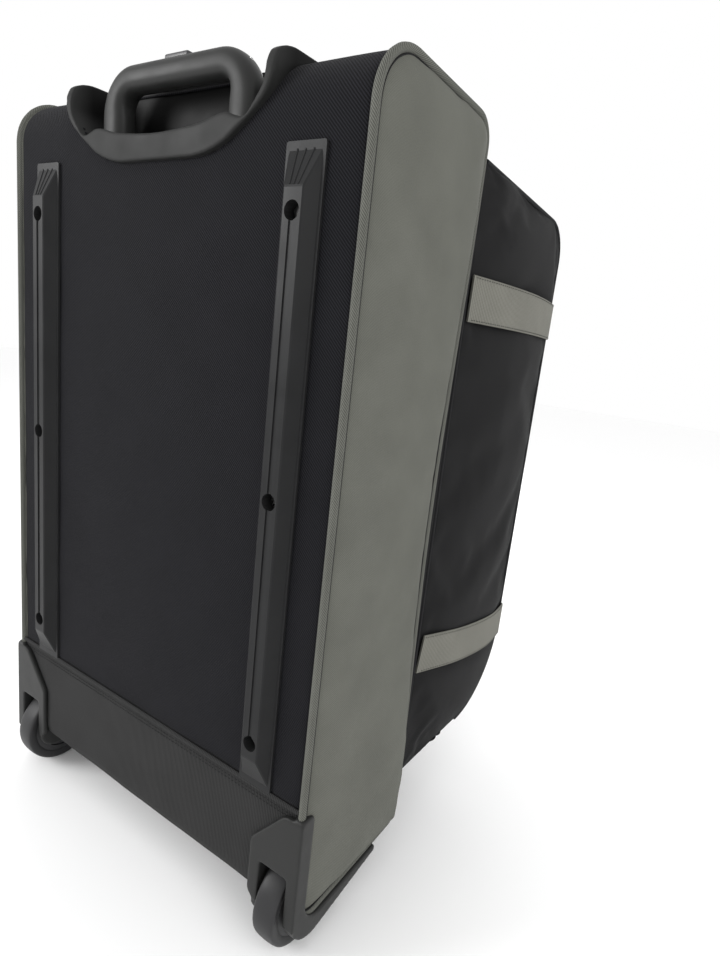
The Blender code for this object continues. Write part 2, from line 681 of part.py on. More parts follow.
# ---- guards and wheels -----------------------------------------------------
def make_guard(label, side):
    back = rounded([
        (GUARD_INNER_X, WHEEL_RADIUS + 0.006, 0.010), (GUARD_OUTER_X, WHEEL_RADIUS - 0.002, 0.0),
        (GUARD_OUTER_X, GUARD_PEAK_Z - 0.008, 0.004), (GUARD_OUTER_X - 0.0168, GUARD_PEAK_Z, 0.016),
        (GUARD_INNER_X, GUARD_PEAK_Z - 0.042, 0.010)])
    guard = plate("guard_" + label, mirrored(side, back), "Y", (BACK_Y + GAP, GUARD_BACK_Y), PLASTIC)
    arm = plate("guard_arm_" + label, rounded(GUARD_ARM), "X",
                sided(side, GUARD_ARM_X, GUARD_OUTER_X), PLASTIC, CUTTERS)
    x = sided(side, HOUSING_LOW_X, HOUSING_HIGH_X)
    housing = plate("guard_housing_" + label, rounded([
        (HOUSING_FRONT_Y, HOUSING_LOW_Z, 0.004), (GUARD_BACK_Y - 0.0006, HOUSING_LOW_Z, 0.018),
        (GUARD_BACK_Y - 0.0006, HOUSING_TOP_Z, 0.0), (HOUSING_FRONT_Y, HOUSING_TOP_Z, 0.020)]),
        "X", x, PLASTIC, CUTTERS)
    join(guard, arm, housing)
    slot_x = sided(side, SLOT_LOW_X, SLOT_HIGH_X)
    slot = cylinder("guard_slot_" + label, (slot_x[0], WHEEL_Y, WHEEL_RADIUS),
                    (slot_x[1], WHEEL_Y, WHEEL_RADIUS), WHEEL_SLOT_RADIUS, PLASTIC, 40, CUTTERS)
    mouth = box("guard_mouth_" + label, (slot_x[0], WHEEL_Y - WHEEL_SLOT_RADIUS + 0.001, -0.02),
                (slot_x[1], GUARD_BACK_Y + 0.02, WHEEL_RADIUS), PLASTIC, CUTTERS)
    window = box("guard_window_" + label, (slot_x[0], WHEEL_Y, 0.0),
                 (slot_x[1], GUARD_BACK_Y + 0.02, 2 * WHEEL_RADIUS + 0.0025), PLASTIC, CUTTERS)
    bore = cylinder("axle_bore_" + label, (side * (HOUSING_LOW_X - 0.02), WHEEL_Y, WHEEL_RADIUS),
                    (side * (HOUSING_HIGH_X - 0.0008), WHEEL_Y, WHEEL_RADIUS), AXLE_RADIUS + GAP,
                    PLASTIC, 20, CUTTERS)
    cut(guard, slot, mouth, window, bore)
    return guard


def make_wheel(label, side):
    middle = (side * WHEEL_X, WHEEL_Y, WHEEL_RADIUS)
    outward = (float(side), 0.0, 0.0)
    half = WHEEL_WIDTH / 2
    crown = [(WHEEL_RADIUS, -0.30 * half), (WHEEL_RADIUS, 0.30 * half),
             (WHEEL_RADIUS - 0.0015, 0.62 * half), (WHEEL_RADIUS - 0.0048, 0.88 * half),
             (WHEEL_RADIUS - 0.0095, half)]
    bore = TYRE_INNER_RADIUS
    tyre_profile = crown + [(bore, half), (bore, -half)] + [(r, -z) for r, z in crown[:1:-1]]
    tyre = turned("tyre_" + label, tyre_profile, middle, outward, TYRE, 40)
    rim = bore - GAP
    seat = BEARING_RADIUS + GAP
    web = 0.0035
    hub_profile = [(rim, -half + 0.0008), (rim, half - 0.0008), (rim - 0.0035, half - 0.0008),
                   (rim - 0.0045, web), (seat + 0.0045, web), (seat + 0.0035, half - 0.0004),
                   (seat, half - 0.0004), (seat, -half + 0.0004), (seat + 0.0035, -half + 0.0004),
                   (seat + 0.0045, -web), (rim - 0.0045, -web), (rim - 0.0035, -half + 0.0008)]
    hub = turned("wheel_hub_" + label, hub_profile, middle, outward, DARK_PLASTIC, 32)
    bearings = []
    inner = AXLE_RADIUS + GAP
    for name, low in (("inner", -half + 0.0006), ("outer", half - 0.0006 - BEARING_WIDTH)):
        high = low + BEARING_WIDTH
        shield = 0.0006
        race = [(BEARING_RADIUS, low), (BEARING_RADIUS, high), (BEARING_RADIUS - 0.0018, high),
                (BEARING_RADIUS - 0.0021, high - shield), (inner + 0.0021, high - shield),
                (inner + 0.0018, high), (inner, high), (inner, low)]
        bearings.append(turned("bearing_%s_%s" % (name, label), race, middle, outward, STEEL, 20))
    inner_end = HOUSING_LOW_X - GAP - AXLE_HEAD
    outer_end = HOUSING_HIGH_X - 0.0014
    axle_profile = [(0.0, outer_end), (AXLE_RADIUS, outer_end), (AXLE_RADIUS, HOUSING_LOW_X - GAP),
                    (AXLE_HEAD_RADIUS, HOUSING_LOW_X - GAP), (AXLE_HEAD_RADIUS, inner_end),
                    (0.0, inner_end)]
    turned("axle_" + label, axle_profile, (0.0, WHEEL_Y, WHEEL_RADIUS), outward, STEEL, 20, ring=False)
    carry(pivot("wheel_axis_" + label, middle), tyre, hub, *bearings)


# ---- telescopic handle -----------------------------------------------------
def tube(name, side, stage, low, high, material):
    size = stage_size(stage)
    piece = box(name, (side * TUBE_X - size[0] / 2, TUBE_Y - size[1] / 2, low),
                (side * TUBE_X + size[0] / 2, TUBE_Y + size[1] / 2, high), material)
    bore = tube_hole(name + "_bore", side, (size[0] - 2 * TUBE_WALL, size[1] - 2 * TUBE_WALL),
                     low - 0.01, high + 0.01)
    return cut(piece, bore)


GRIP_FOOT = CUP_LOW + CUP_FLOOR + 0.0015
GRIP_SOCKET = GRIP_FOOT + 0.024
GRIP_CORE_LOW = GRIP_TOP - 0.0165
GRIP_CORE_HIGH = GRIP_TOP - 0.0085
YOKE_LOW = GRIP_CORE_HIGH - YOKE_THICK - 0.0006


def make_handle():
    stage_1 = pivot("handle_stage_1", (0.0, TUBE_Y, CUP_LOW))
    stage_2 = pivot("handle_stage_2", (0.0, TUBE_Y, CUP_LOW))
    press = pivot("button_axis", (0.0, TUBE_Y, GRIP_TOP))
    bracket = box("tube_bracket", (-TUBE_X - 0.020, TUBE_Y - 0.0105, OUTER_TUBE_LOW - 0.010),
                  (TUBE_X + 0.020, BACK_BOARD_Y - BOARD - GAP, OUTER_TUBE_LOW + 0.020), DARK_PLASTIC)
    grip = make_grip()
    for label, side in SIDES:
        tube("outer_tube_" + label, side, 0, OUTER_TUBE_LOW, CUP_LOW - GAP, ALUMINIUM)
        pocket = tube_hole("bracket_pocket_" + label, side, stage_size(0, GAP),
                           OUTER_TUBE_LOW - GAP, OUTER_TUBE_LOW + 0.05)
        cut(bracket, pocket)
        middle = tube("middle_tube_" + label, side, 1, OUTER_TUBE_LOW + STAGE_STEP,
                      CUP_LOW + CUP_FLOOR - 0.001, ALUMINIUM)
        inner = tube("inner_tube_" + label, side, 2, OUTER_TUBE_LOW + 2 * STAGE_STEP,
                     GRIP_SOCKET - GAP, ALUMINIUM)
        carry(stage_1, middle)
        carry(stage_2, inner)
        cut(grip, tube_hole("grip_socket_" + label, side, stage_size(2, GAP),
                            GRIP_FOOT - 0.01, GRIP_SOCKET))
        bore = stage_size(2)
        cut(grip, tube_hole("grip_leg_core_" + label, side,
                            (bore[0] - 2 * TUBE_WALL, bore[1] - 2 * TUBE_WALL),
                            GRIP_SOCKET - 0.005, GRIP_CORE_HIGH - 0.001))
    carry(stage_2, grip)
    button, yoke = make_button()
    carry(press, button, yoke)


def make_grip():
    half = GRIP_HALF_WIDTH
    inner = half - GRIP_LEG
    under = GRIP_TOP - GRIP_BAR
    outline = rounded([
        (-half, GRIP_FOOT, 0.002), (-inner, GRIP_FOOT, 0.002), (-inner, under, 0.012),
        (inner, under, 0.012), (inner, GRIP_FOOT, 0.002), (half, GRIP_FOOT, 0.002),
        (half, GRIP_TOP, 0.030), (-half, GRIP_TOP, 0.030)])
    grip = plate("grip", outline, "Y", (TUBE_Y - GRIP_DEPTH / 2, TUBE_Y + GRIP_DEPTH / 2), PLASTIC)
    bevel(grip, 0.0065, 3, 50.0)
    core_half = stage_size(2)[1] / 2 - TUBE_WALL
    core_reach = TUBE_X + YOKE_ROD
    core = box("grip_core", (-core_reach, TUBE_Y - core_half, GRIP_CORE_LOW),
               (core_reach, TUBE_Y + core_half, GRIP_CORE_HIGH), PLASTIC, CUTTERS)
    slot = box("grip_button_slot",
               (-BUTTON_HALF_LENGTH - GAP, TUBE_Y - BUTTON_HALF_WIDTH - GAP, GRIP_CORE_LOW),
               (BUTTON_HALF_LENGTH + GAP, TUBE_Y + BUTTON_HALF_WIDTH + GAP, GRIP_TOP + 0.01),
               PLASTIC, CUTTERS)
    return cut(grip, core, slot)


def make_button():
    """Button on top of the grip, and the yoke inside that draws the lock pins."""
    reach = TUBE_X + YOKE_ROD / 2
    high = YOKE_LOW + YOKE_THICK
    button = box("release_button", (-BUTTON_HALF_LENGTH, TUBE_Y - BUTTON_HALF_WIDTH, high + GAP),
                 (BUTTON_HALF_LENGTH, TUBE_Y + BUTTON_HALF_WIDTH, GRIP_TOP + BUTTON_PROUD),
                 DARK_PLASTIC)
    bevel(button, 0.0008, 2)
    foot = high - ROD_LENGTH
    outline = [(-reach, foot), (-reach + YOKE_ROD, foot), (-reach + YOKE_ROD, YOKE_LOW),
               (reach - YOKE_ROD, YOKE_LOW), (reach - YOKE_ROD, foot), (reach, foot),
               (reach, high), (-reach, high)]
    yoke = plate("release_yoke", outline, "Y", (TUBE_Y - 0.0012, TUBE_Y + 0.0012), STEEL)
    return button, yoke


# ---- main compartment ------------------------------------------------------
def tangent_heights():
    """Where the flat front ends and the corner arcs begin, low and high."""
    low = MAIN_BOTTOM + MAIN_BOTTOM_RADIUS
    high = MAIN_TOP_FRONT - MAIN_TOP_RADIUS
    return low, high


def make_main_compartment():
    low, high = tangent_heights()
    hinge = pivot("compartment_hinge", (BODY_HALF_WIDTH - 0.0015, SEAM_Y, 0.38))
    pieces = [make_zip_frames()]
    half = MAIN_HALF_WIDTH - FABRIC - GAP
    top_path = [(MAIN_REAR_Y, MAIN_TOP, 0.0), (MAIN_FRONT_Y, MAIN_TOP_FRONT, MAIN_TOP_RADIUS),
                (MAIN_FRONT_Y, high - 0.006, 0.0)]
    bottom_path = [(MAIN_FRONT_Y, low + 0.006, 0.0), (MAIN_FRONT_Y, MAIN_BOTTOM, MAIN_BOTTOM_RADIUS),
                   (MAIN_REAR_Y, MAIN_BOTTOM, 0.0)]
    pieces.append(plate("main_top", band(top_path, FABRIC), "X", (-half, half), BLACK))
    pieces.append(plate("main_bottom", band(bottom_path, FABRIC), "X", (-half, half), BLACK))
    front = plate("main_front", [(-half, low + 0.006 + GAP), (half, low + 0.006 + GAP),
                                 (half, high - 0.006 - GAP), (-half, high - 0.006 - GAP)],
                  "Y", (MAIN_FRONT_Y, MAIN_FRONT_Y + FABRIC), BLACK)
    window = plate("flap_window", rounded(WINDOW),
                   "Y", (MAIN_FRONT_Y - 0.02, MAIN_FRONT_Y + 0.02), BLACK, CUTTERS)
    pieces.append(cut(front, window))
    for label, side in SIDES:
        pieces.append(plate("main_side_" + label, rounded(MAIN_OUTLINE), "X",
                            sided(side, MAIN_HALF_WIDTH - FABRIC, MAIN_HALF_WIDTH), BLACK))
        pieces.extend(make_straps(label, side))
    pieces.append(make_cradle())
    carry(hinge, *pieces)
    make_flap()
    for label, side in SIDES:
        make_carry_handle(label, side)


STRAP_RUNS = {              # height of the strap's middle at the seam and at the front edge
    "upper": (MAIN_TOP - 0.111, MAIN_TOP - 0.115),
    "lower": (0.218, 0.184),
}


def make_straps(label, side):
    straps = []
    x = sided(side, MAIN_HALF_WIDTH + GAP, MAIN_HALF_WIDTH + GAP + STRAP_THICK)
    front_y = MAIN_FRONT_Y + 0.016
    half = STRAP_WIDTH / 2
    for name, (rear_z, front_z) in STRAP_RUNS.items():
        outline = [(front_y, front_z - half), (MAIN_REAR_Y, rear_z - half),
                   (MAIN_REAR_Y, rear_z + half), (front_y, front_z + half)]
        straps.append(plate("strap_%s_%s" % (name, label), outline, "X", x, WEBBING))
    return straps


def make_cradle():
    """Foam block on the compartment's floor with a round seat for one ball."""
    corners = shifted(MAIN_OUTLINE, FABRIC + CRADLE_CLEARANCE)
    front_y = corners[1][0]
    floor = corners[2][1]
    rear = MAIN_REAR_Y - CRADLE_CLEARANCE
    top = floor + CRADLE_HEIGHT
    half = MAIN_HALF_WIDTH - FABRIC - CRADLE_CLEARANCE
    cradle = plate("ball_cradle", rounded(corners), "X", (-half, half), FOAM)
    cut(cradle, box("cradle_trim", (-0.3, -0.4, top), (0.3, 0.1, 1.0), FOAM, CUTTERS),
        box("cradle_rear_trim", (-0.3, rear, 0.0), (0.3, 0.1, 1.0), FOAM, CUTTERS))
    seat_y = (front_y + rear) / 2
    seat_z = floor + CRADLE_FLOOR + BALL_RADIUS
    work = bmesh.new()
    bmesh.ops.create_uvsphere(work, u_segments=32, v_segments=20, radius=BALL_RADIUS)
    mesh = bpy.data.meshes.new("ball_seat")
    work.to_mesh(mesh)
    work.free()
    ball = bpy.data.objects.new("ball_seat", mesh)
    ball.location = (0.0, seat_y, seat_z)
    bpy.context.scene.collection.objects.link(ball)
    finish(ball, FOAM, CUTTERS)
    return cut(cradle, ball)


def make_flap():
    hinge_x = FLAP_HALF_WIDTH - FLAP_CLEARANCE / 2
    outline = rounded(shifted(WINDOW, FLAP_CLEARANCE))
    flap = plate("front_flap", outline, "Y", (MAIN_FRONT_Y, MAIN_FRONT_Y + FABRIC), BLACK)
    carry(pivot("flap_hinge", (hinge_x, MAIN_FRONT_Y - 0.0005, (FLAP_LOW + FLAP_HIGH) / 2)), flap)


def make_carry_handle(label, side):
    """D-shaped webbing loop that lies on the front and lifts about its sewn ends."""
    low = STRAP_RUNS["lower"][1]
    high = STRAP_RUNS["upper"][1]
    outer = HANDLE_PIVOT_X
    inner = HANDLE_PIVOT_X - HANDLE_DEPTH
    path = [(outer, low - 0.004, 0.0), (inner, low + 0.020, 0.030),
            (inner, high - 0.020, 0.030), (outer, high + 0.004, 0.0)]
    outline = band(path, -HANDLE_BAND)
    y = (MAIN_FRONT_Y - GAP - HANDLE_THICK, MAIN_FRONT_Y - GAP)
    handle = plate("carry_handle_" + label, mirrored(side, outline), "Y", y, WEBBING)
    x = sided(side, outer, outer + HANDLE_BAND)
    cut(handle, box("handle_trim_" + label, (x[0], y[0] - 0.01, low - HANDLE_BAND),
                    (x[1], y[1] + 0.01, high + HANDLE_BAND), WEBBING, CUTTERS))
    carry(pivot("carry_handle_axis_" + label, (side * outer, sum(y) / 2, (low + high) / 2)), handle)


# ---- zip sliders -----------------------------------------------------------
FLAP_SLIDER_X = -(FLAP_HALF_WIDTH + 0.0025 + SLIDER[0] / 2)
FLAP_SLIDERS = {"upper": 0.440, "lower": 0.385}
BASE_SLIDER_X = BODY_HALF_WIDTH - 0.037


def make_flap_slider(name, z):
    width, height, length = SLIDER
    face = MAIN_FRONT_Y - GAP
    slider = box("flap_slider_" + name, (FLAP_SLIDER_X - width / 2, face - height, z - length / 2),
                 (FLAP_SLIDER_X + width / 2, face, z + length / 2), STEEL)
    bevel(slider, 0.0008, 1)
    pin_z = z + 0.002
    y = face - height - GAP - PULL_THICK
    pull = plate("flap_pull_" + name, rounded([
        (FLAP_SLIDER_X - PULL_WIDTH / 2, pin_z - PULL_LENGTH, 0.002),
        (FLAP_SLIDER_X + PULL_WIDTH / 2, pin_z - PULL_LENGTH, 0.002),
        (FLAP_SLIDER_X + PULL_WIDTH / 2, pin_z + PULL_HEEL, 0.0),
        (FLAP_SLIDER_X - PULL_WIDTH / 2, pin_z + PULL_HEEL, 0.0)]), "Y", (y, y + PULL_THICK), STEEL)
    carry(pivot("flap_pull_axis_" + name, (FLAP_SLIDER_X, y + PULL_THICK / 2, pin_z)), pull)


def make_base_slider():
    width, height, length = SLIDER
    top = BODY_BOTTOM_FRONT + 0.001 - GAP
    y = SEAM_Y + GAP + 0.0002
    slider = box("base_slider", (BASE_SLIDER_X - length / 2, y, top - height),
                 (BASE_SLIDER_X + length / 2, y + width, top), STEEL)
    bevel(slider, 0.0008, 1)
    high = top - height - GAP - PULL_THICK / 2
    middle = y + width / 2
    low = high - BASE_PULL_LENGTH
    pull = plate("base_pull", [
        (BASE_SLIDER_X - PULL_THICK / 2, low), (BASE_SLIDER_X + PULL_THICK / 2, low),
        (BASE_SLIDER_X + PULL_THICK / 2, high), (BASE_SLIDER_X - PULL_THICK / 2, high)],
        "Y", (middle - PULL_WIDTH / 2, middle + PULL_WIDTH / 2), STEEL)
    carry(pivot("base_pull_axis", (BASE_SLIDER_X, middle, high)), pull)


# ---- assembly --------------------------------------------------------------
def build():
    opening = cup_opening()
    back_panel, _ = make_base_panels(opening)
    back_board = make_boards(opening)
    make_rails(back_panel, back_board)
    make_cup()
    make_feet()
    for label, side in SIDES:
        make_guard(label, side)
        make_wheel(label, side)
    make_handle()
    make_main_compartment()
    for name, z in FLAP_SLIDERS.items():
        make_flap_slider(name, z)
    make_base_slider()


build()
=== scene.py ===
import math

import bmesh
import bpy
import numpy as np
from mathutils import Matrix, Vector
from mathutils.bvhtree import BVHTree
from mathutils.noise import noise
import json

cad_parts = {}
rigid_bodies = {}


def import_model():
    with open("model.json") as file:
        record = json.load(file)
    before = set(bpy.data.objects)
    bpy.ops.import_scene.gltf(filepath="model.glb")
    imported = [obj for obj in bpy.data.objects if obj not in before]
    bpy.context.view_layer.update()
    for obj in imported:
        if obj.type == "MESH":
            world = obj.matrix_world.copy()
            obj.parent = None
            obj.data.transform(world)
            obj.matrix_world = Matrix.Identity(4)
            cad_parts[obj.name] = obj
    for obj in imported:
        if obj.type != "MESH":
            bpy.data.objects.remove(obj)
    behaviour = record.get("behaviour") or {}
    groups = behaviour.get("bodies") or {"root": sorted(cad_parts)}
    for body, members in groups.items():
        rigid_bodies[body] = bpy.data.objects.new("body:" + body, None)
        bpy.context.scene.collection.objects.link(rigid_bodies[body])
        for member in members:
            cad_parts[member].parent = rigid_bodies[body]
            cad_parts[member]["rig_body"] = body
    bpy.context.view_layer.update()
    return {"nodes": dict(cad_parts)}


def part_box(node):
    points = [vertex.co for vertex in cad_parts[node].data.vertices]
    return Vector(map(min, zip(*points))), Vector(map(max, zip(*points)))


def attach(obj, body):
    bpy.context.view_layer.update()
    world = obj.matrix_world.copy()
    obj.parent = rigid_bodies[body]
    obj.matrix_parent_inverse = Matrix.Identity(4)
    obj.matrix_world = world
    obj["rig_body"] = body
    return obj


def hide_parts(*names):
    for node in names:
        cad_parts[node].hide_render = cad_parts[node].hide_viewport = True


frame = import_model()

SIDES = (("left", -1), ("right", 1))

# ---- sizes that the looks add to the frame, in metres -----------------------
CLOTH = 0.0016              # thickness of a sewn panel's cloth
STEP = 0.0038               # grid step of the outer panels
SIM_STEP = 0.0085           # grid step of the simulated panels
TOP_RADIUS = 0.040          # back edge of the top
BOTTOM_RADIUS = 0.028       # back edge of the bottom
MAIN_TOP_RADIUS = 0.040
MAIN_BOTTOM_RADIUS = 0.095
FLAP_CORNER_RADIUS = 0.030
PIPING_RADIUS = 0.0031
MAIN_PIPING_RADIUS = 0.0021
SEAM_TUCK, SEAM_REACH = 0.0012, 0.003   # how deep and how wide a wrapped panel is drawn in at its seams
SIDE_SWELL = 0.0090         # how far a grey side bellies out past its seam
WAIST = 0.010               # how far a grey side's front edge is drawn back at its middle
MAIN_SWELL = 0.0070
GUSSET_SWELL = 0.0055
FLAP_SWELL = 0.0035
FRONT_SHARE = 0.30          # how much of its swell the front keeps under the straps and handles
FRONT_LIFT = 0.0020         # how far the front cloth stands off the frame's front
WINDOW_GAP = 0.0015         # between the flap and the edge of its window
ZIP_REACH = 0.0085          # from the flap's edge to the middle of its zip
STRAP_WIDTH = 0.040
STRAP_THICKNESS = 0.0018
STRAP_BEND = 0.0060         # radius with which a strap turns on to the front
STRAP_POINTS = 44           # points of its path along the side
STRAP_ENDS = {"upper": (0.560, 0.556), "lower": (0.218, 0.184)}   # heights at its rear and front end
HANDLE_WIDTH = 0.025
HANDLE_TRIM = 0.007         # from a carry handle's pivot to the end of its band
HANDLE_STAND_OFF = 0.0072   # from the frame's front to the ends of a band
HANDLE_SAG = 0.0075         # how much further its middle stands off
STITCH_PITCH = 0.0040
STITCH_SIZE = (0.0026, 0.0008, 0.0005)
TOOTH_PITCH = 0.0021
TOOTH_SIZE = (0.0012, 0.0034, 0.0012)
BEAD_SHOULDER = 0.62        # where a stitch or tooth is full, as a share of its half length
CLOTH_FRAMES = 16


# ---- mesh helpers -----------------------------------------------------------
def link(name, mesh, material):
    obj = bpy.data.objects.new(name, mesh)
    bpy.context.scene.collection.objects.link(obj)
    mesh.materials.clear()
    mesh.materials.append(material)
    mesh.shade_smooth()
    return obj


def solid(name, places, faces, material):
    """Closed mesh with its faces turned outward."""
    mesh = bpy.data.meshes.new(name)
    mesh.from_pydata(np.asarray(places).reshape(-1, 3).tolist(), [], faces)
    work = bmesh.new()
    work.from_mesh(mesh)
    bmesh.ops.recalc_face_normals(work, faces=work.faces)
    work.to_mesh(mesh)
    work.free()
    return link(name, mesh, material)


def lattice(rows, columns, closed):
    """Quads of a grid of points whose columns join up, and its rows too if closed."""
    faces = []
    for i in range(rows if closed else rows - 1):
        for j in range(columns):
            k, n = (i + 1) % rows, (j + 1) % columns
            faces.append((i * columns + j, k * columns + j, k * columns + n, i * columns + n))
    return faces


def grid_sheet(name, places, flats, outward, material, keep=None, thickness=CLOTH):
    """Sheet of quads through a rows-by-columns array of points, with its flat
    pattern as UVs in metres. Its cut area and flat size are kept on the sheet."""
    rows, columns = places.shape[:2]
    faces = []
    for i in range(rows - 1):
        for j in range(columns - 1):
            centre = places[i:i + 2, j:j + 2].reshape(4, 3).mean(axis=0)
            if keep is None or keep(*centre):
                a = i * columns + j
                faces.append((a, a + 1, a + columns + 1, a + columns))
    mesh = bpy.data.meshes.new(name)
    mesh.from_pydata(places.reshape(-1, 3).tolist(), [], faces)
    layer = mesh.uv_layers.new(name="UVMap")
    corners = np.array([loop.vertex_index for loop in mesh.loops])
    flat = flats.reshape(-1, 2)
    layer.data.foreach_set("uv", flat[corners].astype(np.float32).ravel())
    quads = flat[np.array(faces)]
    x, y = quads[..., 0], quads[..., 1]
    area = 0.5 * np.abs(np.sum(x * np.roll(y, -1, 1) - np.roll(x, -1, 1) * y, axis=1)).sum()
    work = bmesh.new()
    work.from_mesh(mesh)
    bmesh.ops.delete(work, geom=[v for v in work.verts if not v.link_faces], context="VERTS")
    total = Vector()
    for face in work.faces:
        total += face.normal * face.calc_area()
    if callable(outward):
        total = sum((f.normal.dot(outward(f.calc_center_median())) for f in work.faces), 0.0)
        turned_in = total < 0.0
    else:
        turned_in = total.dot(Vector(outward)) < 0.0
    if turned_in:
        bmesh.ops.reverse_faces(work, faces=work.faces)
    work.to_mesh(mesh)
    work.free()
    obj = link(name, mesh, material)
    obj["cut_area"] = float(area)
    obj["cut_size"] = [float(np.ptp(flat[:, 0])), float(np.ptp(flat[:, 1]))]
    if thickness:
        thicken(obj, thickness)
    return obj


def thicken(obj, thickness):
    modifier = obj.modifiers.new("cloth thickness", "SOLIDIFY")
    modifier.thickness = thickness
    modifier.offset = -1.0
    modifier.use_rim = True
    return obj


def apply_modifiers(obj, material=None):
    bpy.context.view_layer.update()
    evaluated = obj.evaluated_get(bpy.context.evaluated_depsgraph_get())
    mesh = bpy.data.meshes.new_from_object(evaluated)
    obj.modifiers.clear()
    obj.data = mesh
    if material:
        mesh.materials.clear()
        mesh.materials.append(material)
    return obj


def fillet_path(corners, closed=False, steps=8):
    """Polyline through (a, b, radius) corners with their fillets as arcs."""
    points = []
    count = len(corners)
    for i, (a, b, radius) in enumerate(corners):
        here = Vector((a, b))
        if radius <= 0.0 or (not closed and i in (0, count - 1)):
            points.append((a, b))
            continue
        back = (Vector(corners[i - 1][:2]) - here).normalized()
        ahead = (Vector(corners[(i + 1) % count][:2]) - here).normalized()
        half = back.angle(ahead) / 2.0
        reach = radius / math.tan(half)
        centre = here + (back + ahead).normalized() * (radius / math.sin(half))
        start, end = here + back * reach - centre, here + ahead * reach - centre
        sweep_angle = start.angle_signed(end)
        for step in range(steps + 1):
            turn = Matrix.Rotation(-sweep_angle * step / steps, 2)
            points.append(tuple(centre + turn @ start))
    return np.array(points)


def resample(points, step, closed=False):
    """Points spaced evenly along a polyline, with the distance of each."""
    points = np.asarray(points, float)
    if closed:
        points = np.vstack([points, points[:1]])
    lengths = np.concatenate([[0.0], np.cumsum(np.linalg.norm(np.diff(points, axis=0), axis=1))])
    count = max(2, int(round(lengths[-1] / step)) + 1)
    marks = np.linspace(0.0, lengths[-1], count)
    even = np.stack([np.interp(marks, lengths, points[:, k]) for k in range(points.shape[1])], axis=1)
    return (even[:-1], marks[:-1]) if closed else (even, marks)


def tangents(points, closed=False):
    if closed:
        ahead = np.roll(points, -1, axis=0) - np.roll(points, 1, axis=0)
    else:
        ahead = np.gradient(points, axis=0)
    return ahead / np.maximum(np.linalg.norm(ahead, axis=1, keepdims=True), 1e-9)


def at_x(outline, x):
    """Path through (Y, Z) points at a given X."""
    return np.column_stack([np.full(len(outline), x), outline])


def at_y(outline, y):
    """Path through (X, Z) points at a given Y."""
    return np.column_stack([outline[:, 0], np.full(len(outline), y), outline[:, 1]])


def distance_to(outline, a, b):
    """Distance from points (a, b) to a closed polyline."""
    start = np.asarray(outline)
    end = np.roll(start, -1, axis=0)
    span = end - start
    p = np.stack([a, b], axis=-1)[..., None, :]
    t = np.clip(((p - start) * span).sum(-1) / np.maximum((span ** 2).sum(-1), 1e-12), 0.0, 1.0)
    return np.linalg.norm(p - (start + t[..., None] * span), axis=-1).min(axis=-1)


def crossings(outline, level):
    """Lowest and highest a at which a closed (a, b) outline crosses b = level."""
    found = []
    for (a0, b0), (a1, b1) in zip(outline, np.roll(outline, -1, axis=0)):
        if min(b0, b1) <= level <= max(b0, b1) and abs(b1 - b0) > 1e-9:
            found.append(a0 + (a1 - a0) * (level - b0) / (b1 - b0))
    return min(found), max(found)


def ripples(x, y, z, scale, seed):
    """Smooth noise from about -1 to 1 at arrays of places."""
    shift = Vector((seed, seed * 0.7, -seed))
    spots = np.stack(np.broadcast_arrays(x, y, z), axis=-1)
    return np.apply_along_axis(lambda spot: noise(Vector(spot) * (1.0 / scale) + shift), -1, spots)


def rise(away, reach):
    """From 0 at an edge towards 1 well inside it."""
    return 1.0 - np.exp(-away / reach)


def hump(at, centre, width):
    """1 at the centre, falling away on both sides of it."""
    return np.exp(-((at - centre) / width) ** 2)


def seam_tuck(x, half):
    """How far a panel that wraps round the back is drawn in at its side seams."""
    return SEAM_TUCK * np.exp(-(half - np.abs(x)) / SEAM_REACH)


def facing_sheet(name, outline, spots, rows, columns, lift, outward, material, thickness=CLOTH):
    """Sheet that fills a closed outline. spots maps (a, b, lift) to a point."""
    low, high = outline[:, 1].min(), outline[:, 1].max()
    levels = low + (high - low) * (0.5 - 0.5 * np.cos(np.linspace(0.004, 0.996, rows) * math.pi))
    a = np.array([np.linspace(*crossings(outline, level), columns) for level in levels])
    b = np.repeat(levels[:, None], columns, axis=1)
    away = distance_to(outline, a, b)
    raised = lift(a, b, away)
    return grid_sheet(name, spots(a, b, raised), np.stack([a, b], axis=-1), outward, material,
                      thickness=thickness)


def wrap_sheet(name, path, step, half_width, lift, material, keep=None, thickness=CLOTH):
    """Sheet that runs along a path of (Y, Z) points and spans the bag's width."""
    line, marks = resample(path, step)
    ahead = tangents(line)
    normal = np.stack([ahead[:, 1], -ahead[:, 0]], axis=1)
    columns = int(round(2 * half_width / step)) + 1
    across = np.linspace(-half_width, half_width, columns)
    x = np.repeat(across[None, :], len(line), axis=0)
    s = np.repeat(marks[:, None], columns, axis=1)
    raised = lift(x, s, marks[-1])
    y = line[:, None, 0] + normal[:, None, 0] * raised
    z = line[:, None, 1] + normal[:, None, 1] * raised
    flats = np.stack([x, s], axis=-1)

    def outward(point):
        nearest = int(np.argmin(np.abs(line[:, 0] - point.y) + np.abs(line[:, 1] - point.z)))
        return Vector((0.0, *normal[nearest]))

    return grid_sheet(name, np.stack([x, y, z], axis=-1), flats, outward, material, keep, thickness)


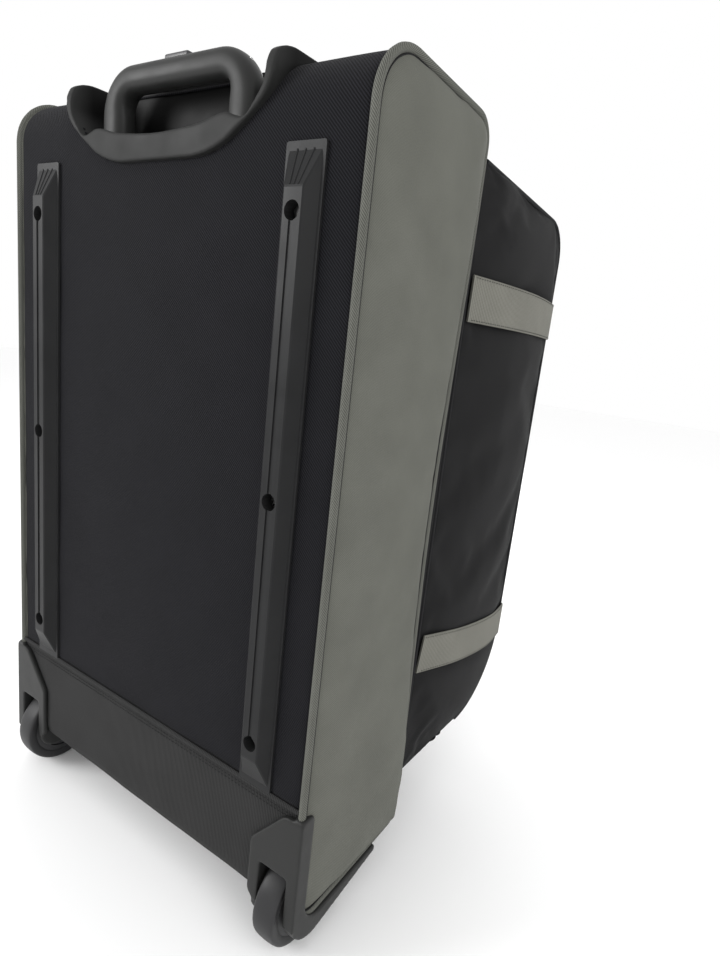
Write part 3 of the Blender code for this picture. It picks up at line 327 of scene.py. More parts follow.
def sweep(name, path, section, reference, material, closed=False):
    """Solid made by moving a closed (side, up) section along a path of points.

    The section's up direction stays as near to the reference as it can. A stack
    of sections gives each point of the path its own.
    """
    path = np.asarray(path, float)
    section = np.asarray(section, float)
    ahead = tangents(path, closed)
    side = np.cross(ahead, np.asarray(reference, float))
    side /= np.linalg.norm(side, axis=1, keepdims=True)
    up = np.cross(side, ahead)
    if section.ndim == 2:
        section = np.repeat(section[None], len(path), axis=0)
    places = (path[:, None] + side[:, None] * section[..., :1] + up[:, None] * section[..., 1:])
    rows, columns = places.shape[:2]
    faces = lattice(rows, columns, closed)
    if not closed:
        faces.append(tuple(range(columns)))
        faces.append(tuple((rows - 1) * columns + j for j in range(columns))[::-1])
    obj = solid(name, places, faces, material)
    along = np.concatenate([[0.0], np.cumsum(np.linalg.norm(np.diff(path, axis=0), axis=1))])
    around = np.concatenate([[0.0], np.cumsum(np.linalg.norm(np.diff(section[0], axis=0), axis=1))])
    layer = obj.data.uv_layers.new(name="UVMap")
    for loop, spot in zip(obj.data.loops, layer.data):
        i, j = divmod(loop.vertex_index, columns)
        spot.uv = (along[i], around[j])
    obj.data.set_sharp_from_angle(angle=math.radians(50.0))
    return obj


def circle(radius, sides=10, flat=1.0):
    angles = np.linspace(0.0, math.tau, sides, endpoint=False)
    return np.stack([radius * np.cos(angles), radius * flat * np.sin(angles)], axis=1)


def flat_band(thickness, width, columns=8):
    """Section of a webbing band: thin along side, wide along up, with soft edges."""
    edge = thickness * 0.35
    up = np.linspace(-width / 2 + edge, width / 2 - edge, columns)
    outer = [(thickness / 2, u) for u in up]
    inner = [(-thickness / 2, u) for u in up[::-1]]
    return np.array([(0.0, -width / 2)] + outer + [(0.0, width / 2)] + inner)


def bead_row(name, path, facing, pitch, size, material):
    """Row of small rounded beads along a path, for stitches and zip teeth."""
    line, _ = resample(path, pitch)
    ahead = tangents(line)
    facing = np.asarray(facing, float)
    side = np.cross(ahead, facing)
    side /= np.maximum(np.linalg.norm(side, axis=1, keepdims=True), 1e-9)
    length, width, height = (value / 2.0 for value in size)
    shape = [(-length, 0, 0), (length, 0, 0)]
    for along in (-BEAD_SHOULDER * length, BEAD_SHOULDER * length):
        shape += [(along, width, 0), (along, 0, height), (along, -width, 0), (along, 0, -height)]
    bead = []
    for k in range(4):
        n = (k + 1) % 4
        bead += [(0, 2 + n, 2 + k), (2 + k, 2 + n, 6 + n, 6 + k), (1, 6 + k, 6 + n)]
    places, faces = [], []
    for centre, forward, across in zip(line, ahead, side):
        faces += [tuple(len(places) + index for index in face) for face in bead]
        places += [centre + forward * a + across * b + facing * c for a, b, c in shape]
    return solid(name, places, faces, material)


def turned(name, profile, centre, material, steps=96):
    """Closed profile of (radius, X) points turned about the X axis."""
    profile = np.asarray(profile, float)
    angles = np.linspace(0.0, math.tau, steps, endpoint=False)
    x = centre[0] + profile[None, :, 1].repeat(steps, axis=0)
    y = centre[1] + profile[None, :, 0] * np.cos(angles)[:, None]
    z = centre[2] + profile[None, :, 0] * np.sin(angles)[:, None]
    faces = lattice(steps, len(profile), closed=True)
    obj = solid(name, np.stack([x, y, z], axis=-1), faces, material)
    obj.data.set_sharp_from_angle(angle=math.radians(42.0))
    return obj


def soften(name, node_name, material, slot, voxel, rounds):
    """Moulded form of a CAD node: the same solid with its edges rounded over."""
    source = frame["nodes"][node_name]
    obj = link(name, source.data.copy(), material)
    remesh = obj.modifiers.new("even mesh", "REMESH")
    remesh.mode = "VOXEL"
    remesh.voxel_size = voxel
    smooth = obj.modifiers.new("rounded over", "SMOOTH")
    smooth.factor = 0.5
    smooth.iterations = rounds
    apply_modifiers(obj, material)
    obj.data.shade_smooth()
    return place(obj, source["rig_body"], slot, node_name)


def place(obj, body, slot, *nodes):
    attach(obj, body)
    if nodes:
        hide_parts(*nodes)
    return obj


def declare(obj):
    """Returns the sheet unchanged; its flat size and cut area are already kept on it by grid_sheet."""
    return obj


def relax_as_cloth(obj, pressure, slack, cap):
    """Cloth simulation with every border pinned; the result is kept in the mesh.

    The cloth may stretch by its slack, and no point moves further than the cap.
    """
    work = bmesh.new()
    work.from_mesh(obj.data)
    border = [v.index for v in work.verts if v.is_boundary]
    work.free()
    obj.vertex_groups.new(name="border").add(border, 1.0, "REPLACE")
    modifier = obj.modifiers.new("cloth", "CLOTH")
    settings = modifier.settings
    settings.quality = 6
    settings.mass = 0.25
    settings.tension_stiffness = 12.0
    settings.compression_stiffness = 12.0
    settings.shear_stiffness = 4.0
    settings.bending_stiffness = 0.12
    settings.vertex_group_mass = "border"
    settings.use_pressure = True
    settings.uniform_pressure_force = pressure
    settings.shrink_min = -slack
    settings.effector_weights.gravity = 0.0
    modifier.point_cache.frame_start = 1
    modifier.point_cache.frame_end = CLOTH_FRAMES
    scene = bpy.context.scene
    for number in range(1, CLOTH_FRAMES + 1):
        scene.frame_set(number)
    evaluated = obj.evaluated_get(bpy.context.evaluated_depsgraph_get())
    moved = [v.co.copy() for v in evaluated.data.vertices]
    obj.modifiers.clear()
    for vertex, spot in zip(obj.data.vertices, moved):
        shift = spot - vertex.co
        if shift.length > cap:
            shift *= cap / shift.length
        vertex.co += shift
    scene.frame_set(1)
    return obj


def refine(obj, levels):
    modifier = obj.modifiers.new("finer", "SUBSURF")
    modifier.levels = levels
    modifier.render_levels = levels
    return apply_modifiers(obj)


# ---- materials --------------------------------------------------------------
def feed(tree, socket, value):
    """Links a socket to another one, or sets it to a constant."""
    if isinstance(value, bpy.types.NodeSocket):
        tree.links.new(value, socket)
    else:
        socket.default_value = value


def node(tree, kind, inputs=None, **settings):
    made = tree.nodes.new(kind)
    for key, value in settings.items():
        setattr(made, key, value)
    for key, value in (inputs or {}).items():
        feed(tree, made.inputs[key], value)
    return made


def new_material(name):
    material = bpy.data.materials.new(name)
    material.use_nodes = True
    return material, material.node_tree, material.node_tree.nodes["Principled BSDF"]


def bands(tree, where, pitch, angle, distortion=0.6):
    """Soft stripes of a given pitch, turned by an angle, from 0 to 1."""
    turned_by = node(tree, "ShaderNodeMapping", {"Vector": where, "Rotation": (0.0, 0.0, angle)})
    wave = node(tree, "ShaderNodeTexWave",
                {"Vector": turned_by.outputs[0], "Scale": math.pi / (10.0 * pitch),
                 "Distortion": distortion, "Detail": 1.0, "Detail Scale": 2.0},
                wave_type="BANDS", bands_direction="X", wave_profile="SIN")
    return wave.outputs["Fac"]


def speckle(tree, where, size, detail=3.0):
    made = node(tree, "ShaderNodeTexNoise", {"Vector": where, "Scale": 1.0 / size, "Detail": detail})
    return made.outputs["Fac"]


def math_node(tree, operation, a, b):
    return node(tree, "ShaderNodeMath", {0: a, 1: b}, operation=operation).outputs[0]


def ramp(tree, fac, low, high, colours):
    made = node(tree, "ShaderNodeValToRGB", {"Fac": fac})
    first, last = made.color_ramp.elements
    first.position, last.position = low, high
    first.color = (*colours[0], 1.0)
    last.color = (*colours[1], 1.0)
    return made.outputs["Color"]


def mixed(tree, blend_type, factor, first, second):
    made = node(tree, "ShaderNodeMix", {0: factor}, data_type="RGBA", blend_type=blend_type)
    colours = [socket for socket in made.inputs if socket.type == "RGBA"]
    feed(tree, colours[0], first)
    feed(tree, colours[1], second)
    return [socket for socket in made.outputs if socket.type == "RGBA"][0]


def finish_surface(tree, shader, colour, rough, bump_strength, depth, height):
    """Gives a shader its colour and roughness, and a bump of a given depth in metres."""
    bump = node(tree, "ShaderNodeBump", {"Strength": bump_strength, "Distance": depth, "Height": height})
    feed(tree, shader.inputs["Base Color"], colour)
    feed(tree, shader.inputs["Roughness"], rough)
    feed(tree, shader.inputs["Normal"], bump.outputs[0])


def scaled(colour, factor):
    return tuple(min(1.0, value * factor) for value in colour)


def surface_place(tree, kind):
    coordinates = node(tree, "ShaderNodeTexCoord")
    if kind == "UV":
        return coordinates.outputs["UV"]
    split = node(tree, "ShaderNodeSeparateXYZ", {0: coordinates.outputs["Object"]})
    across = math_node(tree, "ADD", split.outputs[0], split.outputs[1])
    joined = node(tree, "ShaderNodeCombineXYZ", {0: across, 1: split.outputs[2]})
    return joined.outputs[0]


def fabric(name, colour, weaves, contrast=0.45, depth=0.00025, where="UV"):
    """Woven cloth. Each weave is (pitch, angle, share) of a set of thread rows."""
    roughness = 0.85
    material, tree, shader = new_material(name)
    spot = surface_place(tree, where)
    height = None
    for pitch, angle, share in weaves:
        row = math_node(tree, "MULTIPLY", bands(tree, spot, pitch, math.radians(angle)), share)
        height = row if height is None else math_node(tree, "ADD", height, row)
    fuzz = math_node(tree, "MULTIPLY", speckle(tree, spot, 0.0011), 0.35)
    height = math_node(tree, "ADD", height, fuzz)
    base = ramp(tree, height, 0.25, 1.05, (scaled(colour, 1.0 - contrast), scaled(colour, 1.0 + contrast)))
    cloud = ramp(tree, speckle(tree, spot, 0.045, 4.0), 0.3, 0.7, ((0.86, 0.86, 0.86), (1.0, 1.0, 1.0)))
    rough = ramp(tree, fuzz, 0.0, 0.35, ((roughness - 0.08,) * 3, (min(1.0, roughness + 0.08),) * 3))
    finish_surface(tree, shader, mixed(tree, "MULTIPLY", 1.0, base, cloud), rough, 0.8, depth, height)
    shader.inputs["Sheen Weight"].default_value = 0.03
    shader.inputs["Sheen Roughness"].default_value = 0.45
    shader.inputs["Specular IOR Level"].default_value = 0.08
    return material


def moulded(name, colour, roughness=0.42, grain=0.0009, depth=0.00006, wear=0.35, metallic=0.0, gloss=0.5,
            recess_shade=None):
    """Moulded plastic, rubber or metal with fine grain, soft mottling and edge wear.

    The last argument, a (deep, shallow) pair of Y positions, darkens the colour from shallow to deep: painted
    shade standing in for the shadow inside a recess.
    """
    material, tree, shader = new_material(name)
    spot = node(tree, "ShaderNodeTexCoord").outputs["Object"]
    fine = speckle(tree, spot, grain, 2.0)
    broad = speckle(tree, spot, 0.03, 5.0)
    base = ramp(tree, broad, 0.3, 0.72, (scaled(colour, 0.86), scaled(colour, 1.10)))
    # Painted shade: the colour darkens with depth in Y, standing in for the shadow inside a recess.
    if recess_shade:
        depth_y = node(tree, "ShaderNodeSeparateXYZ", {0: spot}).outputs[1]
        deep, unshaded_y = recess_shade
        share = node(tree, "ShaderNodeMapRange", {"Value": depth_y, "From Min": deep, "From Max": unshaded_y,
                                                  "To Min": 0.12, "To Max": 1.0}).outputs[0]
        base = node(tree, "ShaderNodeVectorMath", {0: base, 1: share}, operation="MULTIPLY").outputs[0]
        wear = 0.0
    edge = node(tree, "ShaderNodeNewGeometry").outputs["Pointiness"]
    worn = ramp(tree, edge, 0.50, 0.60, ((0.0, 0.0, 0.0), (wear, wear, wear)))
    result = mixed(tree, "MIX", worn, base, (*scaled(colour, 1.9), 1.0))
    rough = ramp(tree, broad, 0.3, 0.75, ((roughness - 0.07,) * 3, (roughness + 0.09,) * 3))
    finish_surface(tree, shader, result, rough, 0.5, depth, fine)
    shader.inputs["Metallic"].default_value = metallic
    shader.inputs["Specular IOR Level"].default_value = gloss
    return material


CLOTH_BLACK, LINING_GREY = (0.0130, 0.0130, 0.0134), (0.060, 0.060, 0.064)
PLAIN_WEAVE = [(0.0012, 45, 0.5), (0.0010, -45, 0.35)]
LINING_WEAVE = [(0.0010, 0, 0.4), (0.0010, 90, 0.4)]
SPUN = [(0.0006, 30, 0.8)]

BLACK_TWILL = fabric("black twill", (0.0080, 0.0080, 0.0097), [(0.0018, 45, 0.75), (0.0009, -45, 0.25)],
                     0.85, 0.0004)
RIBBED = fabric("ribbed cloth", (0.028, 0.028, 0.028), [(0.0017, 0, 0.75), (0.0012, 90, 0.15)], 0.45, 0.0006)
GREY_CLOTH = fabric("grey cloth", (0.122, 0.124, 0.108), [(0.0011, 45, 0.5), (0.0007, -45, 0.35)],
                    0.24, 0.0002)
GREY_PIPING = fabric("grey piping", (0.112, 0.114, 0.101), [(0.0014, 50, 0.7), (0.0009, -50, 0.2)],
                     0.45, 0.0004)
BLACK_CLOTH = fabric("black cloth", CLOTH_BLACK, PLAIN_WEAVE, 0.35, 0.0002)
BLACK_FRAME = fabric("black frame cloth", CLOTH_BLACK, PLAIN_WEAVE, 0.35, 0.0002, where="Object")
BLACK_BRAID = fabric("black binding", (0.020, 0.020, 0.021), [(0.0016, 0, 0.6), (0.0012, 90, 0.3)], 0.35)
WEBBING = fabric("grey webbing", (0.172, 0.170, 0.148), [(0.0026, 0, 0.65), (0.0012, 90, 0.30)], 0.30, 0.0005)
LINING = fabric("lining", LINING_GREY, LINING_WEAVE, 0.25, 0.0001)
QUILT = fabric("divider cloth", LINING_GREY, LINING_WEAVE, 0.25, 0.0001, where="Object")
THREAD = fabric("black thread", (0.016, 0.016, 0.017), SPUN, 0.4)
GREY_THREAD = fabric("grey thread", (0.085, 0.086, 0.078), SPUN, 0.4)

FOAM = moulded("foam", (0.050, 0.050, 0.055), 0.9, 0.0016, 0.0006, 0.0)
GREY_PLASTIC = moulded("grey plastic", (0.0180, 0.0183, 0.0178), 0.46, 0.0008, 0.00008, 0.20, gloss=0.20)
RAIL_PLASTIC = moulded("rail plastic", (0.0165, 0.0167, 0.0172), 0.36, 0.0008, 0.00006, 0.20, gloss=0.10)
BLACK_PLASTIC = moulded("black plastic", (0.022, 0.022, 0.024), 0.38)
ZIP_PLASTIC = moulded("zip teeth", (0.030, 0.030, 0.031), 0.35)
BOARD = moulded("board plastic", (0.100, 0.100, 0.100), 0.5)
URETHANE = moulded("urethane", (0.026, 0.026, 0.027), 0.45, 0.0006, 0.00008, 0.3, gloss=0.2)
STEEL = moulded("steel", (0.420, 0.420, 0.415), 0.32, 0.0004, 0.00002, 0.1, 1.0)
PAINTED = moulded("painted metal", (0.030, 0.030, 0.032), 0.34, 0.0004, 0.00002, 0.3, 0.6)
ALUMINIUM = moulded("aluminium", (0.340, 0.342, 0.350), 0.38, 0.0005, 0.00002, 0.1, 1.0)

CARRIED_OVER = {
    "rail_left": RAIL_PLASTIC, "rail_right": RAIL_PLASTIC,
    "back_board": BOARD, "bottom_board": BOARD, "tube_bracket": BLACK_PLASTIC,
    "foot_left": BLACK_PLASTIC, "foot_right": BLACK_PLASTIC,
    "release_yoke": STEEL, "base_slider": PAINTED, "base_pull": PAINTED,
}
for stem, finish in (("outer_tube", ALUMINIUM), ("middle_tube", ALUMINIUM), ("inner_tube", ALUMINIUM),
                     ("axle", STEEL), ("bearing_inner", STEEL), ("bearing_outer", STEEL)):
    CARRIED_OVER.update({"%s_%s" % (stem, label): finish for label, _ in SIDES})
CARRIED_OVER.update({"rail_rivet_%d" % number: STEEL for number in range(1, 7)})
CARRIED_OVER.update({"flap_%s_%s" % (part, level): PAINTED
                     for part in ("slider", "pull") for level in ("upper", "lower")})
for node_name, finish in CARRIED_OVER.items():
    carried = frame["nodes"][node_name].data.materials
    if len(carried) == 0:
        carried.append(finish)
    for index in range(len(carried)):
        carried[index] = finish


# ---- places read from the frame ---------------------------------------------
BACK_LOW, BACK_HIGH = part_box("back_panel")
SIDE_LOW, SIDE_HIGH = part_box("side_panel_right")
KICK_LOW, KICK_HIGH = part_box("kick_panel")
CUP_LOW, CUP_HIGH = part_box("handle_cup")
GUARD_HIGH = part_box("guard_right")[1]
MAIN_LOW, MAIN_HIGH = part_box("main_side_right")
FLAP_LOW, FLAP_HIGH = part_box("front_flap")
BASE_FRONT_Y = SIDE_LOW.y
TOP_FRONT_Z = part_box("zip_tape_rear")[1].z + 0.002
BOTTOM_FRONT_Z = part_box("zip_tape_rear")[0].z - 0.001
MAIN_TOP_FRONT = MAIN_HIGH.z - 0.014
# The cup's colour is darkened deep in its recess: painted shade standing in for the shadow there.
CUP_PLASTIC = moulded("cup plastic", (0.0190, 0.0193, 0.0190), 0.52, 0.0008, 0.00008, gloss=0.10,
                      recess_shade=(BACK_HIGH.y - 0.016, BACK_HIGH.y - 0.001))
HOUSING_X, HOUSING_Y, HOUSING_Z = 0.158, 0.117, 0.093   # inner, front and top face of a wheel's housing
CUP_FOOT_INSET = 0.052      # how much narrower the cup is at its foot, on each side
CUP_SHOULDER = 0.040        # height of its shoulder above its foot
CUP_FLOOR = 0.023           # height of its recess above its foot
CUP_SEAM = 0.0045           # how far the cloth round the cup runs in under its edge
FRAME_CORNERS = (0.012, 0.020)   # radii of the zip frame and divider at the bottom and the top


# ---- base -------------------------------------------------------------------
def cup_outline():
    """Outline of the handle cup seen from behind, as (X, Z)."""
    half, low, top = CUP_HIGH.x, CUP_LOW.z, CUP_HIGH.z + 0.02
    foot, shoulder = half - CUP_FOOT_INSET, low + CUP_SHOULDER
    return fillet_path([(-foot, low, 0.090), (foot, low, 0.090), (half, shoulder, 0.034),
                        (half, top, 0.0), (-half, top, 0.0), (-half, shoulder, 0.034)], closed=True)


def make_back_cloth():
    path = fillet_path([(BACK_HIGH.y, BACK_LOW.z, 0.0), (BACK_HIGH.y, BACK_HIGH.z, TOP_RADIUS),
                        (BASE_FRONT_Y, TOP_FRONT_Z, 0.0)], steps=14)
    outline = cup_outline()

    def lift(x, s, total):
        return 0.0006 * ripples(x, s, 0.0, 0.07, 3.0) - seam_tuck(x, BACK_HIGH.x)

    def keep(x, y, z):
        if z < CUP_LOW.z + CUP_SEAM or y < CUP_LOW.y + CUP_SEAM:
            return True
        return abs(x) > crossings(outline, z)[1] - CUP_SEAM

    cloth = wrap_sheet("back_cloth", path, STEP, BACK_HIGH.x, lift, BLACK_TWILL, keep)
    place(cloth, "base", "black_twill", "back_panel")
    declare(cloth)


def make_kick_cloth():
    path = fillet_path([(BASE_FRONT_Y, BOTTOM_FRONT_Z, 0.0), (KICK_HIGH.y, KICK_LOW.z, BOTTOM_RADIUS),
                        (KICK_HIGH.y, KICK_HIGH.z, 0.0)], steps=12)

    def lift(x, s, total):
        return 0.0007 + 0.0007 * ripples(x, s, 0.0, 0.05, 8.0) - seam_tuck(x, KICK_HIGH.x)

    def keep(x, y, z):
        return not (abs(x) > HOUSING_X and y > HOUSING_Y and z < HOUSING_Z)

    cloth = wrap_sheet("kick_cloth", path, STEP, KICK_HIGH.x, lift, RIBBED, keep)
    place(cloth, "base", "ribbed_fabric", "kick_panel")
    declare(cloth)
    fold = np.array([[x, KICK_HIGH.y + 0.0012, KICK_HIGH.z - 0.0010]
                     for x in np.linspace(-KICK_HIGH.x, KICK_HIGH.x, 60)])
    hem = sweep("kick_hem", fold, circle(0.0022, 12, 0.55), (0.0, 1.0, 0.0), RIBBED)
    place(hem, "base", "ribbed_fabric")
    for k, drop in enumerate((0.0052, 0.0085)):
        line = fold[[0, -1]] + np.array([0.0, 0.0006, -drop])
        row = bead_row("kick_stitching_%d" % (k + 1), line, (0.0, 1.0, 0.0), STITCH_PITCH, STITCH_SIZE,
                       THREAD)
        place(row, "base", "black_fabric")


def drawn_back(outline):
    """Outline with its front edge pulled back in a long shallow curve."""
    y, z = outline[:, 0], outline[:, 1]
    low, high = BOTTOM_FRONT_Z + 0.03, TOP_FRONT_Z - 0.03
    rise = np.sin(np.clip((z - low) / (high - low), 0.0, 1.0) * math.pi) ** 2
    near_front = np.clip(1.0 - (y - BASE_FRONT_Y) / 0.03, 0.0, 1.0)
    return np.stack([y + WAIST * rise * near_front, z], axis=1)


def side_outline(inset=0.0):
    corners = [(BASE_FRONT_Y + inset, BOTTOM_FRONT_Z + inset, 0.012 - inset / 2),
               (SIDE_HIGH.y - inset, SIDE_LOW.z + inset, BOTTOM_RADIUS - inset),
               (SIDE_HIGH.y - inset, SIDE_HIGH.z - inset, TOP_RADIUS - inset),
               (BASE_FRONT_Y + inset, TOP_FRONT_Z - inset, 0.020 - inset)]
    even, _ = resample(fillet_path(corners, closed=True, steps=10), 0.004, closed=True)
    return drawn_back(even)


def make_side(label, side):
    outline = side_outline()
    seat = SIDE_HIGH.x - 0.0036

    def lift(y, z, away):
        """A rolled edge and a belly that is fullest low down in front and held in by the guard."""
        forward = np.clip((SIDE_HIGH.y - y) / (SIDE_HIGH.y - SIDE_LOW.y), 0.0, 1.0)
        from_guard = np.hypot((y - GUARD_HIGH.y) / 1.3, np.maximum(z - 0.03, 0.0) / 1.6)
        free = 0.25 + 0.75 * np.clip(from_guard / 0.055, 0.0, 1.0) ** 1.5
        fullness = 1.0 + forward * (1.05 * hump(z, 0.12, 0.09) + 0.25 * hump(z, 0.62, 0.10)
                                    - 0.40 * hump(z, 0.37, 0.13))
        belly = SIDE_SWELL * rise(away, 0.015) * (0.6 + 0.4 * forward) * free * fullness
        pucker = 0.0011 * ripples(y, z, side, 0.016, 5.0 + side) * np.exp(-away / 0.016)
        folds = 0.0016 * ripples(y, z * 0.5, side, 0.085, 2.0) * np.minimum(1.0, away / 0.03)
        return 0.0042 * rise(away, 0.0035) + belly + pucker + folds

    def spots(y, z, raised):
        return np.stack([side * (seat + raised), y, z], axis=-1)

    cloth = facing_sheet("side_cloth_" + label, outline, spots, 190, 56, lift, (side, 0, 0), GREY_CLOTH)
    place(cloth, "base", "grey_fabric", "side_panel_" + label)
    declare(cloth)
    ring = sweep("side_piping_" + label, at_x(outline, side * (SIDE_HIGH.x - 0.0008)),
                 circle(PIPING_RADIUS, 12), (side, 0.0, 0.0), GREY_PIPING, closed=True)
    place(ring, "base", "grey_fabric")
    # Dark thread line in the seam beside the piping: the seam's thread, and painted shade standing in for the
    # shadow in the seam's groove.
    seam = at_x(side_outline(PIPING_RADIUS + 0.0005), side * (SIDE_HIGH.x + 0.0002))
    row = sweep("side_seam_shade_line_" + label, seam, circle(0.0007, 8), (side, 0.0, 0.0), THREAD, closed=True)
    place(row, "base", "black_fabric")


def cut_button_slot(grip):
    """Cuts the slot in which the release button slides, 0.3 mm clear on each side."""
    low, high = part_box("release_button")
    size = high - low + Vector((0.0006, 0.0006, 0.02))
    middle = (low + high) / 2 + Vector((0.0, 0.0, 0.005))
    mesh = bpy.data.meshes.new("button_slot")
    work = bmesh.new()
    bmesh.ops.create_cube(work, size=1.0)
    shape = Matrix.Translation(middle) @ Matrix.Diagonal((*size, 1.0))
    bmesh.ops.transform(work, matrix=shape, verts=work.verts)
    work.to_mesh(mesh)
    work.free()
    cutter = link("button_slot", mesh, GREY_PLASTIC)
    slot = grip.modifiers.new("button slot", "BOOLEAN")
    slot.object = cutter
    slot.operation = "DIFFERENCE"
    apply_modifiers(grip, GREY_PLASTIC)
    bpy.data.objects.remove(cutter)


def make_grip():
    """Grip bent to a round-cornered D, thicker down its legs, with a slot for its button."""
    low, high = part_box("grip")
    leg, bar, depth = 0.0138, 0.0103, (high.y - low.y) / 2
    reach = high.x - leg
    crown = high.z - bar
    corners = [(-reach, low.z, 0.0), (-reach, crown, 0.024), (reach, crown, 0.024), (reach, low.z, 0.0)]
    line, _ = resample(fillet_path(corners, steps=14), 0.003)
    path = at_y(line, (low.y + high.y) / 2)
    rounds = circle(1.0, 36)
    power = 2.0 / 2.5       # of a superellipse, squarer than an ellipse
    form = np.sign(rounds) * np.abs(rounds) ** power
    drop = np.clip((crown - path[:, 2]) / 0.030, 0.0, 1.0)
    widths = bar + (leg - bar) * drop * drop * (3.0 - 2.0 * drop)
    sections = np.array([form * np.array([width, depth]) for width in widths])
    grip = sweep("grip_shell", path, sections, (0.0, 1.0, 0.0), GREY_PLASTIC)
    cut_button_slot(grip)
    place(grip, frame["nodes"]["grip"]["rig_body"], "grey_plastic", "grip")


def make_cup():
    """Cup whose lip swells beside each leg of the grip and dips between them."""
    cup = soften("cup_shell", "handle_cup", CUP_PLASTIC, "grey_plastic", voxel=0.0009, rounds=30)
    floor = CUP_LOW.z + CUP_FLOOR
    flush = BACK_HIGH.z - 0.004
    for vertex in cup.data.vertices:
        x, y, z = vertex.co
        at_lip = max(0.0, 1.0 - (BACK_HIGH.y + 0.004 - y) / 0.020) * max(0.0, 1.0 - abs(z - floor) / 0.012)
        inside = min(1.0, max(0.0, (0.098 - abs(x)) / 0.02))
        wave = 0.0050 * hump(abs(x), 0.074, 0.018) - 0.0035 * hump(x, 0.0, 0.042)
        vertex.co.z += wave * at_lip * inside
        vertex.co.z -= 0.4 * max(0.0, z - flush)


def make_moulded_pieces():
    make_cup()
    make_grip()
    soften("button_cap", "release_button", BLACK_PLASTIC, "black_plastic", voxel=0.0007, rounds=10)
    for label, _ in SIDES:
        soften("guard_shell_" + label, "guard_" + label, GREY_PLASTIC, "grey_plastic", voxel=0.0012,
               rounds=10)


def tyre_profile(bore, half, outer):
    """Closed (radius, X) outline: a crowned tread and a groove round each wall."""
    shoulder = 0.0034
    middle = (bore + outer - shoulder) / 2
    groove = [(middle + 0.0016, 0.0), (middle, 0.0010), (middle - 0.0016, 0.0)]   # (radius, depth)
    profile = [(bore, -half), (bore, half)] + [(radius, half - depth) for radius, depth in groove[::-1]]
    for t in np.linspace(0.0, 1.0, 17):
        crown = shoulder * math.sin(math.pi * t) ** 0.42 if 0 < t < 1 else 0.0
        profile.append((outer - shoulder + crown, half * math.cos(math.pi * t)))
    return profile + [(radius, depth - half) for radius, depth in groove]


def make_wheels():
    for label, _ in SIDES:
        low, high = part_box("tyre_" + label)
        hub_low, hub_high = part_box("wheel_hub_" + label)
        half, outer = (high.x - low.x) / 2, (high.z - low.z) / 2
        bore = (hub_high.z - hub_low.z) / 2 + 0.0002
        tyre = turned("tyre_tread_" + label, tyre_profile(bore, half, outer), (low + high) / 2, URETHANE)
        place(tyre, "wheel_" + label, "tyre_urethane", "tyre_" + label)
        soften("hub_shell_" + label, "wheel_hub_" + label, BLACK_PLASTIC, "black_plastic", voxel=0.0007,
               rounds=3)


def make_rail_flutes():
    """Fine raised lines that run up the sloping top end of each rail, on its surface."""
    for label, _ in SIDES:
        rail = frame["nodes"]["rail_" + label].data
        surface = BVHTree.FromPolygons([v.co for v in rail.vertices], [p.vertices for p in rail.polygons])
        low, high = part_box("rail_" + label)
        middle = (low.x + high.x) / 2
        for number, spread in enumerate((-0.6, 0.0, 0.6)):
            path = []
            for t in np.linspace(0.0, 1.0, 14):
                x = middle + spread * (0.0120 - 0.0060 * t)
                z = high.z - 0.0050 - 0.0240 * t
                hit = surface.ray_cast(Vector((x, high.y + 0.02, z)), Vector((0.0, -1.0, 0.0)))[0]
                path.append((x, hit.y, z))
            rib = sweep("rail_flute_%s_%d" % (label, number + 1), path, circle(0.0006, 8), (0.0, 1.0, 0.0),
                        RAIL_PLASTIC)
            place(rib, "base", "grey_plastic")


def make_binding(name, node_name, y, radius, body):
    """Binding round the edge of a frame or panel, at a given Y."""
    low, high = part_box(node_name)
    bottom, top = FRAME_CORNERS
    ring = fillet_path([(low.x, low.z, bottom), (high.x, low.z, bottom), (high.x, high.z, top),
                        (low.x, high.z, top)], closed=True)
    path, _ = resample(at_y(ring, y), 0.005, closed=True)
    binding = sweep(name, path, circle(radius, 8), (0.0, 1.0, 0.0), BLACK_BRAID, closed=True)
    place(binding, body, "black_fabric")


def make_base_frame():
    soften("zip_flange", "zip_tape_rear", BLACK_FRAME, "black_fabric", voxel=0.0018, rounds=3)
    make_binding("zip_binding", "zip_tape_rear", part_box("zip_tape_rear")[0].y + 0.0012, 0.0016, "base")


def make_lining():
    """Lining that runs over the wheels' housings and round the inside of the handle cup."""
    front, top = BASE_FRONT_Y + 0.0005, TOP_FRONT_Z - 0.006
    back, floor, shelf = 0.160, BOTTOM_FRONT_Z + 0.008, HOUSING_Z + 0.004
    step_y, cup_y, cup_z = HOUSING_Y - 0.005, CUP_LOW.y - 0.004, CUP_LOW.z - 0.004
    path = fillet_path([(front, floor, 0.0), (step_y, floor, 0.006), (step_y, shelf, 0.006),
                        (back, shelf, 0.008), (back, cup_z, 0.006), (cup_y, cup_z, 0.004),
                        (cup_y, top, 0.010), (front, top - 0.002, 0.0)], steps=6)

    def lift(x, s, total):
        return 0.0012 * ripples(x, s, 0.0, 0.06, 12.0)

    lining = wrap_sheet("base_lining", path, 0.006, BACK_HIGH.x - 0.003, lift, LINING, thickness=0.0008)
    place(lining, "base", "lining")
    declare(lining)


# ---- main compartment -------------------------------------------------------
def main_path():
    """Top, front and bottom of the main compartment, as (Y, Z)."""
    return fillet_path([(MAIN_HIGH.y, MAIN_HIGH.z, 0.0), (MAIN_LOW.y, MAIN_TOP_FRONT, MAIN_TOP_RADIUS),
                        (MAIN_LOW.y, MAIN_LOW.z, MAIN_BOTTOM_RADIUS), (MAIN_HIGH.y, MAIN_LOW.z, 0.0)],
                       steps=14)


